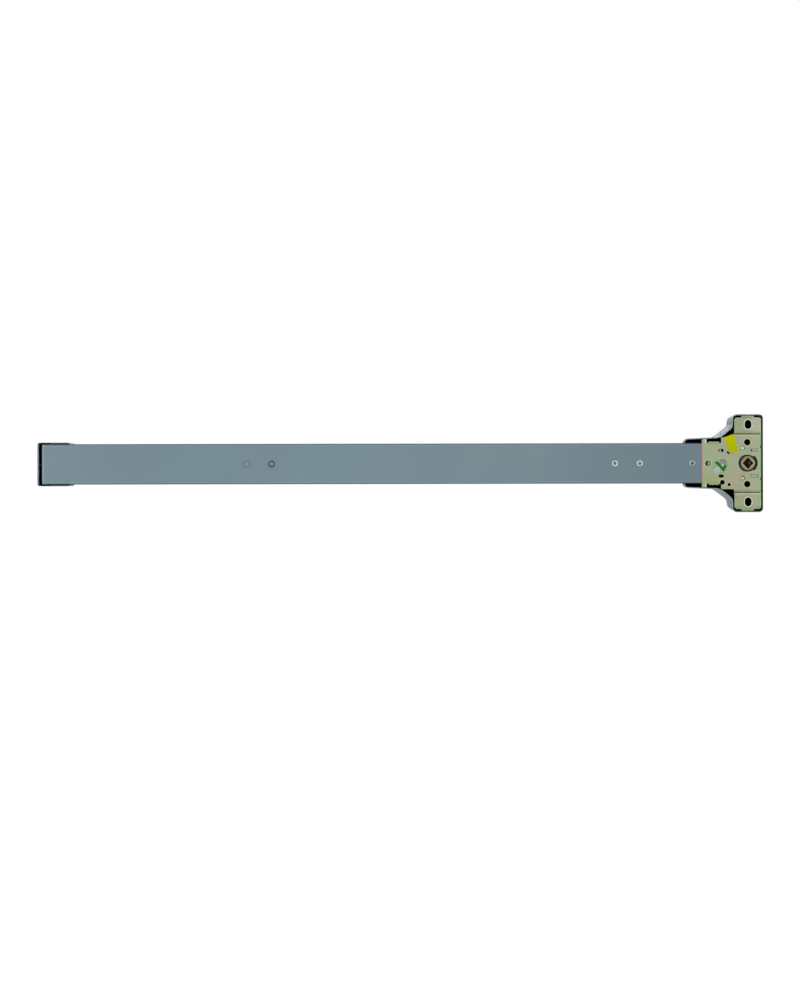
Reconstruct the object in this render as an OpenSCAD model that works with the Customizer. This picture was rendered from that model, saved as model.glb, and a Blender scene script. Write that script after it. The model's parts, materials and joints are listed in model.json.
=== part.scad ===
// Touch-bar exit device, seen in the photo from its door side.
// +X runs to the lock end of the head, +Y away from the door, +Z up.
// The origin lies on the door plane, on the follower's axis, midway between the two lug slots.

/* [Channel] */
// Far left end of the channel, from the follower axis
channel_left = -871.6; // [-1050:0.1:-800]
// Right end of the channel, where the chassis plate shows
channel_right = -56.8; // [-58:0.1:-56]
// Height of the channel, bottom wall to top wall
channel_h = 50; // [50:0.1:51]
// Depth of the channel's side walls from the door
channel_depth = 36; // [32:0.1:36.5]
// Sheet thickness of the channel
channel_wall = 1.5; // [1.2:0.1:1.5]
// Outside radius of the channel's bends
channel_bend = 2.6; // [2:0.1:4]

/* [Touch bar] */
// Left end of the moving touch bar
bar_left = -680; // [-690:0.5:-660]
// Right end of the moving touch bar
bar_right = -83; // [-86:0.1:-82.5]
// Height of the touch bar
bar_h = 45; // [42:0.1:45.4]
// Front face of the touch bar at rest, from the door
bar_front = 58; // [57.5:0.1:59]
// Depth of the touch bar's side walls
bar_depth = 28; // [24:0.1:28.5]
// Wall of the touch bar
bar_wall = 2; // [1.5:0.1:2.2]
// Radius of the touch bar's front edges
bar_round = 5; // [3:0.1:8]
// Travel of the touch bar towards the door
bar_travel = 12; // [8:0.1:12.2]
// Thickness of the end plugs' outer flange
plug_flange = 1.5; // [1:0.1:2]
// Length of the end plugs inside the bar
plug_len = 8; // [5:0.5:10]

/* [Rockers] */
// Place along the channel of the left rocker bracket
left_station = -603.45; // [-620:0.05:-590]
// Place along the channel of the right rocker bracket
right_station = -148.95; // [-160:0.05:-145]
// Distance between the two rivets of a bracket
rivet_pitch = 30.7; // [28:0.1:32]
// Pivot's offset to the left of its bracket's centre
pivot_offset = 9; // [7:0.1:10]
// Height of the rocker pivots above the door
pivot_y = 29; // [28.5:0.1:29.5]
// Length of the rocker arm that carries the touch bar
pad_arm = 26; // [25:0.1:27]
// Length of the rocker arm that pulls the rod
rod_arm = 15; // [14.5:0.1:15.5]
// Outside width of the rocker brackets
bracket_w = 32; // [31:0.1:33]
// Sheet thickness of the brackets
bracket_t = 2; // [1.8:0.1:2.2]
// Half of a bracket's foot length
bracket_half = 25; // [24:0.1:27]
// Diameter of the pivot pins
pivot_d = 6; // [5:0.1:6.5]
// Diameter of the pins that carry the touch bar
pad_pin_d = 5; // [4:0.1:5.2]
// Diameter of the pins that pull the rod
rod_pin_d = 4; // [3.5:0.1:4.2]
// Thickness of each rocker plate
rocker_t = 3; // [2.5:0.1:3.2]

/* [Rod and spring] */
// Thickness of the flat pull rod
rod_t = 4; // [3:0.1:4.5]
// Width of the flat pull rod
rod_w = 10; // [9:0.1:10.4]
// Diameter of the rod's threaded end
stud_d = 6; // [5:0.1:6.4]
// Outside diameter of the return spring
spring_d = 10; // [9:0.1:10.4]
// Wire diameter of the return spring
spring_wire = 1; // [0.8:0.1:1.1]
// Turns of the return spring
spring_turns = 9; // [6:1:11]
// Left seat of the return spring
spring_left = -98; // [-100:0.5:-94]
// Right seat of the return spring, on its washer
spring_right = -66; // [-66.5:0.1:-65.5]
// Width across the flats of the rod nuts
nut_af = 10; // [9:0.1:10.4]
// Thickness of the rod nuts
nut_t = 5; // [4:0.1:5.2]

/* [Chassis plate] */
// Right edge of the plate, the lock end
plate_right = 15.8; // [15.5:0.1:16]
// Left edge of the two fixing lugs
lug_left = -16.9; // [-18:0.1:-14]
// Outer end of the lugs above and below the axis
lug_top = 56.5; // [56:0.1:56.8]
// Half width of the plate between the lugs
plate_half = 32; // [31:0.1:32.4]
// Height of the bend line where the lugs step to the door
joggle_z = 36; // [35:0.1:37]
// Height of the relief notches in the plate's lock edge
relief_z = 19.7; // [18:0.1:22]
// Distance from the channel's end to the plate's side flanges
flange_start = 8.4; // [7:0.1:10]
// Length of the plate's side flanges
flange_len = 12.7; // [10:0.1:14]
// Half width of the small ears that flank the channel's end
ear_half = 29.8; // [28:0.1:29.8]
// Sheet thickness of the plate
plate_t = 2; // [1.8:0.1:2]
// Left end of the plate's tongue inside the channel
tongue_left = -104; // [-110:0.5:-102]
// Clearance of the tongue from the channel's walls
tongue_gap = 2.5; // [1:0.1:4]
// Distance between the two slotted fixing holes
slot_spacing = 95.5; // [94:0.1:97]
// Width of the slotted fixing holes
slot_w = 8.4; // [6:0.1:8.6]
// Length of the slotted fixing holes
slot_len = 11; // [9:0.1:12]
// Distance between the two round trim holes
trim_spacing = 51.7; // [50:0.1:54]
// Diameter of the round trim holes
trim_d = 8; // [6:0.1:8.4]
// Sideways place of the trim holes
trim_x = -0.8; // [-1.5:0.1:0]

/* [Follower] */
// Square of the spindle socket
square = 9; // [8:0.1:9.2]
// Diameter of the follower's rear journal
hub_d = 17.8; // [16.5:0.1:18]
// Diameter of the follower's front journal
nose_d = 14.8; // [14:0.1:15.4]
// Radius from the axis to the crank pin
crank_r = 10; // [9.8:0.1:10.2]
// Diameter of the crank pin
crank_pin_d = 4; // [3.6:0.1:4.1]
// Depth of the spindle socket from the plate's rear face
socket_depth = 17; // [12:0.5:18]
// Radial running clearance of journals and pivots
run_clear = 0.05; // [0.02:0.01:0.09]
// Radius of the plate opening round the follower
opening_r = 10.4; // [10:0.1:11]
// How far that opening is drawn out towards the bar
opening_shift = 1; // [0:0.1:1.2]
// Radius of the bush's key lobe in that opening
lobe_r = 12.1; // [11.6:0.1:12.4]
// Half angle of the key lobe
lobe_angle = 50; // [40:1:60]

/* [Housing and slide] */
// Distance from the axis to the middle of a housing leg
leg_z = 15.85; // [15.6:0.05:16]
// Sheet thickness of the housing
leg_t = 3; // [2.5:0.1:3]
// Front face of the housing, from the door
housing_front = 24; // [23:0.1:30]
// Thickness of the slide plate
slide_t = 3; // [2.5:0.1:3]
// Side clearance of pins in their slots
slot_clear = 0.15; // [0.1:0.01:0.2]
// Diameter of the guide pins beside the slide
guide_d = 5; // [4.4:0.1:5.2]
// Sideways place of the guide pins
guide_x = -6.7; // [-8:0.1:-6]
// Distance of the guide pins from the axis
guide_z = 18.7; // [18.5:0.1:19]

/* [Head cover] */
// Left end of the cover's neck
cover_left = -81.1; // [-82:0.1:-80.5]
// Right end of the cover
cover_right = 18.3; // [18:0.1:20]
// Half height of the neck at its left end
neck_half = 30.4; // [30:0.1:31]
// Half height of the neck where the flare starts
flare_half = 32.3; // [32:0.1:33]
// Left side of the head above the flare
head_left = -19.8; // [-21:0.1:-19]
// Half height of the head
head_half = 60.5; // [60.2:0.1:61]
// Wall of the cover
cover_wall = 1.2; // [1:0.1:1.3]
// Depth of the cover at its right end
cover_depth_right = 50; // [44:0.5:56]
// Depth of the cover over the touch bar's end
cover_depth_left = 63; // [62:0.5:66]
// Radius of the cover's front edge
cover_round = 8; // [5:0.5:10]
// Radius of the flare's upper bend
flare_round = 9.5; // [8:0.5:11]
// Length of the two cover screws
cover_screw_len = 7; // [6:0.5:12]

/* [End cap] */
// How far the end cap stands out past the channel's left end
cap_left = 5.5; // [5:0.1:9]
// Length of the end cap along the channel
cap_len = 40; // [36:0.1:60]
// Outside height of the end cap
cap_h = 53.8; // [53.4:0.1:56]
// Wall of the end cap
cap_wall = 1.8; // [1.5:0.1:2.2]
// Front face of the end cap, from the door
cap_front = 41; // [40.8:0.1:43]
// Front face of the fixed filler beside the touch bar
filler_front = 39; // [37:0.1:39]
// Depth of the filler's side walls
filler_depth = 15; // [10:0.5:20]
// Gap between the filler and the touch bar's left plug
filler_gap = 2.5; // [1:0.1:5]

/* [Hidden] */
$fn = 64;

// A hair of clearance between pieces that are pressed or laid together
seat = 0.02;
// Overlap that keeps a cut from ending flush with a face
over = 0.5;

// The channel and what lies in it
half_h = channel_h / 2;
inner_half = half_h - channel_wall;
floor_y = channel_wall;
plate_y = channel_wall;
plate_top = plate_y + plate_t;
gusset_top = floor_y + bracket_t;

// The rocker's swing, worked out from the travel and the arm's length
swing = asin(bar_travel / 2 / pad_arm);
rod_travel = 2 * rod_arm * sin(swing);
crank_half = asin(rod_travel / 2 / crank_r);
pad_pin_dx = pad_arm * cos(swing);
pad_pin_dy = pad_arm * sin(swing);
rod_pin_dx = rod_arm * sin(swing);
rod_pin_dy = -rod_arm * cos(swing);
rod_y_low = pivot_y - rod_arm;
rod_y_high = pivot_y + rod_pin_dy;
rod_y = (rod_y_low + rod_y_high) / 2;
left_pivot = left_station - pivot_offset;
right_pivot = right_station - pivot_offset;
echo(rod_travel = rod_travel, crank_turn = 2 * crank_half, rocker_turn = 2 * swing);

// Rocker plates straddle the rod, and the hanger's cheeks straddle the plates
plate_in = rod_t / 2 + 1.2;
plate_out = plate_in + rocker_t;
hanger_t = 2.5;
hanger_in = plate_out + 1.8;
hanger_out = hanger_in + hanger_t;
hanger_low = pivot_y + pad_pin_dy - pad_pin_d / 2 - 2.6;
hanger_slot = pad_arm * (1 - cos(swing));
bar_inside = bar_front - bar_wall;
bar_back = bar_front - bar_depth;

// The slide runs on the bush's flange, under the housing's legs
bush_flange = 1.5;
slide_y = plate_top + bush_flange + 0.1;
slide_top = slide_y + slide_t;
leg_y = slide_top + 0.5;
disc_y = slide_top + 0.3;
disc_t = 3;
pin_y = slide_y + 0.2;
hub_r = hub_d / 2;
nose_r = nose_d / 2;
crank_x = crank_r * sin(crank_half);
crank_z = crank_r * cos(crank_half);
leg_in = leg_z - leg_t / 2;
leg_out = leg_z + leg_t / 2;

// Ends of the housing's tabs and of their slots, lower and upper, and the open slots' ends
tab_x = [[3.5, 11.9], [5, 12.4]];
tab_slot_x = [[3.2, 12.75], [4.1, 12.75]];
open_slot = [-36.3, -29.7];
// Plain holes in the plate: x, z and radius. The first shows the slide's ear, and the last
// relieves the end of the upper tab's slot
plain_holes = [
    [-49, -0.2, 3.7], [-31.5, -23.6, 3], [-23.1, -26.4, 2.1], [-23.5, 14.1, 2.6],
    [4.1, 15.9, 1.15]
];

// The slide's upturned ear and the nuts that clamp the rod to it
ear_x = -49.4;
ear_t = 3;
slide_ear_half = 8;
stud_end = ear_x + ear_t + nut_t + 3;
rivet_x = [
    left_station - rivet_pitch / 2, left_station + rivet_pitch / 2,
    right_station - rivet_pitch / 2, right_station + rivet_pitch / 2, -68.8
];
rivet_head_r = 4.15;
rivet_r = 2.4;

// The end screw's place in the cap, the filler and the insert
end_screw_x = channel_left + 15;
cap_x = channel_left - cap_left;
cap_in = half_h + 0.15;
cap_right = cap_x + cap_len;

// Extrudes an outline drawn in X and Z over a stretch of Y
module along_y(y0, y1) {
    translate([0, y1, 0])
        rotate([90, 0, 0])
            linear_extrude(y1 - y0)
                children();
}

// Extrudes an outline drawn in Y and Z over a stretch of X
module along_x(x0, x1) {
    translate([x0, 0, 0])
        rotate([90, 0, 90])
            linear_extrude(x1 - x0)
                children();
}

// Extrudes an outline drawn in X and Y over a stretch of Z
module along_z(z0, z1) {
    translate([0, 0, z0])
        linear_extrude(z1 - z0)
            children();
}

// A round bar or bore along Y
module rod_along_y(x, z, y0, y1, r, r_end = undef) {
    translate([x, y0, z])
        rotate([-90, 0, 0])
            cylinder(h = y1 - y0, r1 = r, r2 = is_undef(r_end) ? r : r_end);
}

// A rectangle with the same radius at each corner
module round_rect(x0, x1, y0, y1, r) {
    translate([x0 + r, y0])
        square([x1 - x0 - 2 * r, y1 - y0]);
    translate([x0, y0 + r])
        square([x1 - x0, y1 - y0 - 2 * r]);
    for (x = [x0 + r, x1 - r], y = [y0 + r, y1 - r])
        translate([x, y])
            circle(r);
}

// A slot with round ends, its length along the second axis
module slot_2d(w, len) {
    translate([-w / 2, -(len - w) / 2])
        square([w, len - w]);
    for (s = [-1, 1])
        translate([0, s * (len - w) / 2])
            circle(w / 2);
}

// Two round bosses joined by their common tangents
module arm_2d(p1, r1, p2, r2) {
    d = norm(p2 - p1);
    heading = atan2(p2[1] - p1[1], p2[0] - p1[0]);
    a = acos((r1 - r2) / d);
    translate(p1)
        circle(r1);
    translate(p2)
        circle(r2);
    polygon([
        p1 + r1 * [cos(heading + a), sin(heading + a)],
        p2 + r2 * [cos(heading + a), sin(heading + a)],
        p2 + r2 * [cos(heading - a), sin(heading - a)],
        p1 + r1 * [cos(heading - a), sin(heading - a)]
    ]);
}

// Solid section with two rounded corners at its low end, drawn in Y and Z
module tub_2d(y0, y1, half, r) {
    translate([y0 + r, -half])
        square([y1 - y0 - r, 2 * half]);
    translate([y0, r - half])
        square([y1 - y0, 2 * (half - r)]);
    for (s = [-1, 1])
        translate([y0 + r, s * (half - r)])
            circle(r);
}

// U section of bent sheet, open at its far end
module bent_u(y0, y1, half, t, r) {
    difference() {
        tub_2d(y0, y1, half, r);
        tub_2d(y0 + t, y1 + over, half - t, max(r - t, 0.3));
    }
}

module channel() {
    color([0.49, 0.57, 0.62])
        difference() {
            along_x(channel_left, channel_right)
                bent_u(0, channel_depth, half_h, channel_wall, channel_bend);
            for (x = rivet_x)
                rod_along_y(x, 0, -seat, channel_wall + seat, rivet_head_r + seat, rivet_r + seat);
        }
}

module channel_rivets() {
    color([0.62, 0.68, 0.72])
        for (i = [0:4]) {
            grip = i == 4 ? plate_top + bracket_t : gusset_top;
            rod_along_y(rivet_x[i], 0, 0, channel_wall, rivet_head_r, rivet_r);
            rod_along_y(rivet_x[i], 0, channel_wall, grip, rivet_r);
            rod_along_y(rivet_x[i], 0, grip + seat, grip + 1.2, 3.8, 3.4);
            rod_along_y(rivet_x[i], 0, grip, grip + 0.6, rivet_r);
        }
}

module filler_cover() {
    half = inner_half - 0.2;
    color([0.49, 0.57, 0.62])
        difference() {
            along_x(channel_left, bar_left - plug_flange - filler_gap)
                mirror([1, 0])
                    translate([-filler_front, 0])
                        bent_u(0, filler_depth, half, channel_wall, channel_bend);
            rod_along_y(end_screw_x, 0, filler_front - 4, filler_front + over, 2.5);
        }
}

// Moulded insert in the channel's end: a floor, two walls and a screw post on ribs
module end_insert() {
    half = inner_half - 0.3 - channel_wall;
    x0 = channel_left + 3;
    x1 = end_screw_x + 12;
    top = filler_front - channel_wall - 0.2;
    color([0.16, 0.16, 0.17])
        difference() {
            union() {
                along_x(x0, x1)
                    bent_u(floor_y, top - 1.5, half, 2, 2.2);
                rod_along_y(end_screw_x, 0, floor_y, top, 5);
                translate([x0, floor_y, -1])
                    cube([x1 - x0, top - floor_y - 6, 2]);
                translate([end_screw_x - 1, floor_y, -half + 1])
                    cube([2, top - floor_y - 6, 2 * half - 2]);
            }
            rod_along_y(end_screw_x, 0, top - 18, top + over, 2);
        }
}

module end_cap_screw() {
    top = cap_front;
    color([0.6, 0.62, 0.64])
        difference() {
            union() {
                rod_along_y(end_screw_x, 0, top - 16, top - 1, 2 - seat);
                rod_along_y(end_screw_x, 0, top - cap_wall + 0.1, top - 0.05, 2, 3.8);
            }
            for (a = [0, 90])
                translate([end_screw_x, top, 0])
                    rotate([0, a, 0])
                        cube([4.4, 2.4, 0.8], center = true);
        }
}

// Moulded cap over the channel's end, open at the back and towards the head
module end_cap() {
    relief_x = channel_left + 11.1;
    color([0.66, 0.66, 0.72])
        difference() {
            union() {
                difference() {
                    along_y(0, cap_front)
                        round_rect(cap_x, cap_right, -cap_h / 2, cap_h / 2, 2.6);
                    along_y(-over, cap_front - cap_wall)
                        translate([cap_x + cap_wall, -cap_in])
                            square([cap_len, 2 * cap_in]);
                    // The side walls are thinner near the closed end
                    along_y(-over, cap_front - cap_wall)
                        translate([cap_x + cap_wall, -cap_h / 2 + 0.9])
                            square([relief_x - cap_x - cap_wall, cap_h - 1.8]);
                }
                // Stiffening rib on the closed end
                translate([cap_x + cap_wall - 0.2, 0.4, -0.9])
                    cube([channel_left - cap_x - cap_wall - 0.6, cap_front - 1, 1.8]);
            }
            // The front edges are bevelled all round
            for (s = [-1, 1])
                translate([cap_x + cap_len / 2, cap_front, s * cap_h / 2])
                    rotate([45, 0, 0])
                        cube([2 * cap_len, 1.6, 1.6], center = true);
            translate([cap_x, cap_front, 0])
                rotate([0, 0, 45])
                    cube([1.6, 1.6, 2 * cap_h], center = true);
            rod_along_y(end_screw_x, 0, cap_front - cap_wall - 0.1, cap_front + 0.02, 2.1, 4);
        }
}

// Outline of the chassis plate, drawn in X and Z
module plate_outline() {
    tongue = inner_half - tongue_gap;
    ear_l = channel_right;
    ear_r = channel_right + 5.8;
    notch_r = -33;
    flange_half = half_h;
    difference() {
        union() {
            round_rect(tongue_left, 0, -tongue, tongue, 3);
            translate([ear_l, -flange_half])
                square([plate_right - ear_l, 2 * flange_half]);
            translate([notch_r, -plate_half])
                square([plate_right - notch_r, 2 * plate_half]);
            for (s = [-1, 1]) {
                translate([ear_l, s > 0 ? 0 : 1 - ear_half])
                    square([ear_r - ear_l, ear_half - 1]);
                translate([ear_l + 1, s > 0 ? 0 : -ear_half])
                    square([ear_r - ear_l - 2, ear_half]);
                for (x = [ear_l + 1, ear_r - 1])
                    translate([x, s * (ear_half - 1)])
                        circle(1);
                round_rect(lug_left, plate_right, s > 0 ? 10 : -lug_top, s > 0 ? lug_top : -10, 3.3);
                translate([-8, s > 0 ? 20 : -lug_top - 2])
                    square([15, lug_top + 2 - 20]);
                // Inside corner between the plate's edge and the lug
                translate([lug_left - 2, s > 0 ? plate_half - 2 : -plate_half - 2])
                    difference() {
                        square([4, 4]);
                        translate([0, s > 0 ? 4 : 0])
                            circle(2);
                    }
            }
        }
        // Relief notches on the lock edge
        for (s = [-1, 1])
            translate([plate_right, s * relief_z])
                square([1.6, 2.4], center = true);
    }
}

module chassis_plate() {
    flange_x = channel_right + flange_start;
    far = 2 * lug_top;
    color([0.68, 0.69, 0.52])
        difference() {
            union() {
                // Flat sheet that steps back to the door at both lugs
                intersection() {
                    along_y(-1, 6)
                        plate_outline();
                    along_x(tongue_left - 1, plate_right + 1)
                        polygon([
                            [plate_y, -joggle_z + 0.9], [0, -joggle_z - 0.9], [0, -far],
                            [plate_t, -far], [plate_t, -joggle_z - 0.9],
                            [plate_top, -joggle_z + 0.9], [plate_top, joggle_z - 0.9],
                            [plate_t, joggle_z + 0.9], [plate_t, far], [0, far],
                            [0, joggle_z + 0.9], [plate_y, joggle_z - 0.9]
                        ]);
                }
                for (s = [-1, 1]) {
                    // Side flange that stiffens the plate beside the channel's end
                    along_x(flange_x, flange_x + flange_len)
                        translate([plate_y, s > 0 ? half_h - 0.4 : -half_h - 1.6])
                            square([15, 2]);
                    // Bent tab that the cover's screw bites into
                    along_x(-8, 7)
                        translate([0, s > 0 ? lug_top : -lug_top - 2])
                            square([14, 2]);
                }
            }
            // Slotted fixing holes
            for (s = [-1, 1]) {
                along_y(-1, 4)
                    translate([0, s * slot_spacing / 2])
                        slot_2d(slot_w, slot_len);
                rod_along_y(trim_x, s * trim_spacing / 2, -1, 6, trim_d / 2);
                rod_along_y(guide_x, s * guide_z, -1, 6, guide_d / 2 + seat);
                // Slot for the housing's tab, and an open one nearer the bar
                along_y(-1, 6) {
                    slot = tab_slot_x[s > 0 ? 1 : 0];
                    translate([slot[0], s * leg_z - leg_t / 2 - 0.35])
                        square([slot[1] - slot[0], leg_t + 0.7]);
                    round_rect(open_slot[0], open_slot[1], s * leg_z - 1.95, s * leg_z + 1.95, 1.9);
                }
                // Tapped holes in the cover's tabs
                translate([-0.5, 8, s * (lug_top + 1)])
                    cylinder(h = 6, r = 2, center = true);
            }
            // Opening for the follower and its keyed bush
            along_y(-1, 6)
                follower_opening(opening_r, lobe_r);
            for (hole = plain_holes)
                rod_along_y(hole[0], hole[1], -1, 6, hole[2]);
            rod_along_y(rivet_x[4], 0, -1, 6, rivet_r + seat);
        }
}

// Opening with round ends, a little longer than high, and a wider sector towards the lock end
module follower_opening(r, lobe) {
    circle(r);
    translate([-opening_shift, 0])
        circle(r);
    translate([-opening_shift, -r])
        square([opening_shift, 2 * r]);
    intersection() {
        circle(lobe);
        polygon([
            [0, 0], [30 * cos(lobe_angle), 30 * sin(lobe_angle)],
            [30, 0], [30 * cos(lobe_angle), -30 * sin(lobe_angle)]
        ]);
    }
}

module rear_bush() {
    color([0.13, 0.13, 0.14])
        difference() {
            union() {
                along_y(plate_y, plate_top)
                    follower_opening(opening_r - 0.05, lobe_r - 0.05);
                rod_along_y(0, 0, plate_top, plate_top + bush_flange, hub_r + 4);
            }
            rod_along_y(0, 0, 0, 9, hub_r + run_clear);
        }
}

module guide_pins() {
    color([0.75, 0.77, 0.78])
        for (s = [-1, 1]) {
            rod_along_y(guide_x, s * guide_z, plate_y, plate_top, guide_d / 2);
            rod_along_y(guide_x, s * guide_z, plate_top, leg_y - 0.1, guide_d / 2);
        }
}

// U-shaped housing over the slide, staked into the plate by two tabs and standing on two feet
module mechanism_housing() {
    x0 = -43;
    x1 = 14;
    foot = 5.5;
    window_top = 18.5;
    color([0.66, 0.68, 0.55])
        union() {
            difference() {
                union() {
                    along_x(x0, x1)
                        mirror([1, 0])
                            translate([-housing_front, 0])
                                bent_u(0, housing_front - leg_y, leg_out, leg_t, leg_t + 1);
                    for (s = [-1, 1]) {
                        tab = tab_x[s > 0 ? 1 : 0];
                        // Shoulder on the plate, past the tab's right end, and the tab through it
                        translate([tab[0], plate_top, s * leg_z - leg_t / 2])
                            cube([tab[1] - tab[0] + 1, leg_y - plate_top + 1, leg_t]);
                        translate([tab[0], plate_y, s * leg_z - leg_t / 2])
                            cube([tab[1] - tab[0], leg_y - plate_y, leg_t]);
                        // Foot on the plate, clear of the open slot
                        translate([x0, plate_top, s * leg_z - leg_t / 2])
                            cube([foot, leg_y - plate_top + 1, leg_t]);
                    }
                }
                // Windows in the legs, behind the open slots
                for (s = [-1, 1])
                    translate([x0 + foot, leg_y - 1, s * leg_z - leg_t])
                        cube([open_slot[1] - x0 - foot + 0.5, window_top - leg_y + 1, 2 * leg_t]);
                rod_along_y(0, 0, housing_front - leg_t - 1, housing_front + 1, nose_r + run_clear);
                // Lightening window that also shows the slide
                along_y(housing_front - leg_t - 1, housing_front + 1)
                    round_rect(-32, -14, -7, 7, 3);
            }
            // Finger of the upper leg that reaches down behind its open slot
            translate([-36.2, plate_top + 0.1, leg_in])
                cube([2.8, window_top + 1 - plate_top, leg_t]);
        }
}

module slide_plate() {
    arm = leg_in - 0.3;
    wing = guide_z - guide_d / 2 - 0.1;
    fork = hub_r + 0.4;
    slot_w2 = crank_pin_d + 2 * slot_clear;
    color([0.72, 0.74, 0.76])
        difference() {
            union() {
                along_y(slide_y, slide_top)
                    difference() {
                        union() {
                            translate([ear_x, -slide_ear_half])
                                square([20, 2 * slide_ear_half]);
                            polygon([
                                [-44, -slide_ear_half], [-38, -arm], [11, -arm], [11, arm],
                                [-38, arm], [-44, slide_ear_half]
                            ]);
                            translate([-20.3, -wing])
                                square([22.6, 2 * wing]);
                        }
                        // Relief behind the plate's round hole
                        for (s = [-1, 1])
                            translate([-27, s > 0 ? 9.8 : -9.8 - 10])
                                square([6.7, 10]);
                        // Fork round the follower's hub
                        circle(fork);
                        translate([0, -fork])
                            square([20, 2 * fork]);
                        // Open slot that drives the crank pin
                        translate([crank_x - slot_w2 / 2, fork - 2])
                            square([slot_w2, crank_r - fork + 2]);
                        translate([crank_x, crank_r])
                            circle(slot_w2 / 2);
                        round_rect(-32, -16, -5, 5, 4);
                    }
                along_x(ear_x, ear_x + ear_t)
                    polygon([
                        [slide_y, -slide_ear_half], [rod_y, -slide_ear_half], [rod_y + 6, -4],
                        [rod_y + 6, 4], [rod_y, slide_ear_half], [slide_y, slide_ear_half]
                    ]);
            }
            translate([ear_x - 1, rod_y, 0])
                rotate([0, 90, 0])
                    cylinder(h = ear_t + 2, r = stud_d / 2 + seat);
        }
}

// Hub with the square socket and the crank that the slide turns
module follower() {
    color([0.78, 0.7, 0.5])
        difference() {
            union() {
                rod_along_y(0, 0, plate_y, plate_top + bush_flange, hub_r);
                // Waist that clears the crank pin
                rod_along_y(0, 0, plate_y, disc_y + disc_t, crank_r - crank_pin_d / 2 - 0.3);
                rod_along_y(0, 0, disc_y + disc_t, housing_front, nose_r);
                rod_along_y(0, 0, disc_y, disc_y + disc_t, crank_r + crank_pin_d / 2 + 1.4);
            }
            // Square socket, set as a diamond
            translate([0, plate_y - over, 0])
                rotate([0, 45, 0])
                    translate([-square / 2, 0, -square / 2])
                        cube([square, socket_depth + over, square]);
            rod_along_y(crank_x, crank_z, disc_y - 1, disc_y + disc_t + 1, crank_pin_d / 2 + seat);
        }
}

module crank_pin() {
    color([0.75, 0.77, 0.78])
        rod_along_y(crank_x, crank_z, pin_y, disc_y + disc_t, crank_pin_d / 2);
}

// Bent bracket that carries a rocker on the channel's floor
module rocker_bracket(station) {
    pivot = station - pivot_offset;
    foot = bracket_half;
    color([0.7, 0.71, 0.6])
        difference() {
            intersection() {
                along_x(station - foot, station + foot)
                    bent_u(floor_y, pivot_y + 8, bracket_w / 2, bracket_t, bracket_t + 0.8);
                along_z(-bracket_w, bracket_w) {
                    translate([pivot, pivot_y])
                        circle(6.5);
                    polygon([
                        [station - foot, floor_y], [station + foot, floor_y],
                        [station + foot, floor_y + 7], [pivot + 6.2, pivot_y + 1.9],
                        [pivot - 6.2, pivot_y + 1.9], [station - foot, floor_y + 7]
                    ]);
                }
            }
            translate([pivot, pivot_y, 0])
                cylinder(h = bracket_w + 2, r = pivot_d / 2 + seat, center = true);
            for (s = [-1, 1])
                rod_along_y(station + s * rivet_pitch / 2, 0, 0, 6, rivet_r + seat);
        }
}

module pivot_pin(station) {
    outer = bracket_w / 2;
    color([0.75, 0.77, 0.78])
        translate([station - pivot_offset, pivot_y, 0]) {
            cylinder(h = 2 * outer + 1, r = pivot_d / 2, center = true);
            for (s = [-1, 1])
                translate([0, 0, s * (outer + 0.02 + 0.6)])
                    cylinder(h = 1.2, r = pivot_d / 2 + 1.4, center = true);
        }
}

// Bell crank of two plates on one hub
module rocker(station) {
    pad = [pad_pin_dx, pad_pin_dy];
    rod = [rod_pin_dx, rod_pin_dy];
    hub_half = bracket_w / 2 - bracket_t - 0.4;
    color([0.7, 0.71, 0.72])
        translate([station - pivot_offset, pivot_y, 0])
            difference() {
                union() {
                    for (s = [-1, 1])
                        translate([0, 0, s * (plate_in + plate_out) / 2])
                            linear_extrude(rocker_t, center = true) {
                                arm_2d([0, 0], 7, pad, 4.6);
                                arm_2d([0, 0], 7, rod, 4.2);
                            }
                    cylinder(h = 2 * hub_half, r = 5.4, center = true);
                }
                cylinder(h = 2 * hub_half + 2, r = pivot_d / 2 + run_clear, center = true);
                translate(pad)
                    cylinder(h = 40, r = pad_pin_d / 2 + seat, center = true);
                translate(rod)
                    cylinder(h = 40, r = rod_pin_d / 2 + seat, center = true);
            }
}

module pad_pin(station) {
    color([0.75, 0.77, 0.78])
        translate([station - pivot_offset + pad_pin_dx, pivot_y + pad_pin_dy, 0])
            cylinder(h = 2 * hanger_out + 1.4, r = pad_pin_d / 2, center = true);
}

module rod_pin(station) {
    color([0.75, 0.77, 0.78])
        translate([station - pivot_offset + rod_pin_dx, pivot_y + rod_pin_dy, 0])
            cylinder(h = 2 * plate_out + 0.6, r = rod_pin_d / 2, center = true);
}

// Bracket welded inside the touch bar, slotted for the rocker's pin
module hanger(station) {
    pin_x = station - pivot_offset + pad_pin_dx;
    pin_y = pivot_y + pad_pin_dy;
    slot_w2 = pad_pin_d + 2 * slot_clear;
    color([0.7, 0.71, 0.6])
        difference() {
            intersection() {
                along_x(pin_x - 20, pin_x + 20)
                    mirror([1, 0])
                        translate([-bar_inside, 0])
                            bent_u(0, bar_inside - hanger_low, hanger_out, hanger_t, hanger_t + 0.8);
                along_z(-20, 20)
                    polygon([
                        [pin_x - 20, bar_inside], [pin_x - 20, bar_inside - 6],
                        [pin_x - 8, pin_y + 6], [pin_x - 8, hanger_low],
                        [pin_x + 8, hanger_low], [pin_x + 8, pin_y + 6],
                        [pin_x + 20, bar_inside - 6], [pin_x + 20, bar_inside]
                    ]);
            }
            along_z(-20, 20)
                translate([pin_x + hanger_slot / 2, pin_y])
                    rotate(90)
                        slot_2d(slot_w2, slot_w2 + hanger_slot + 0.4);
        }
}

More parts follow.
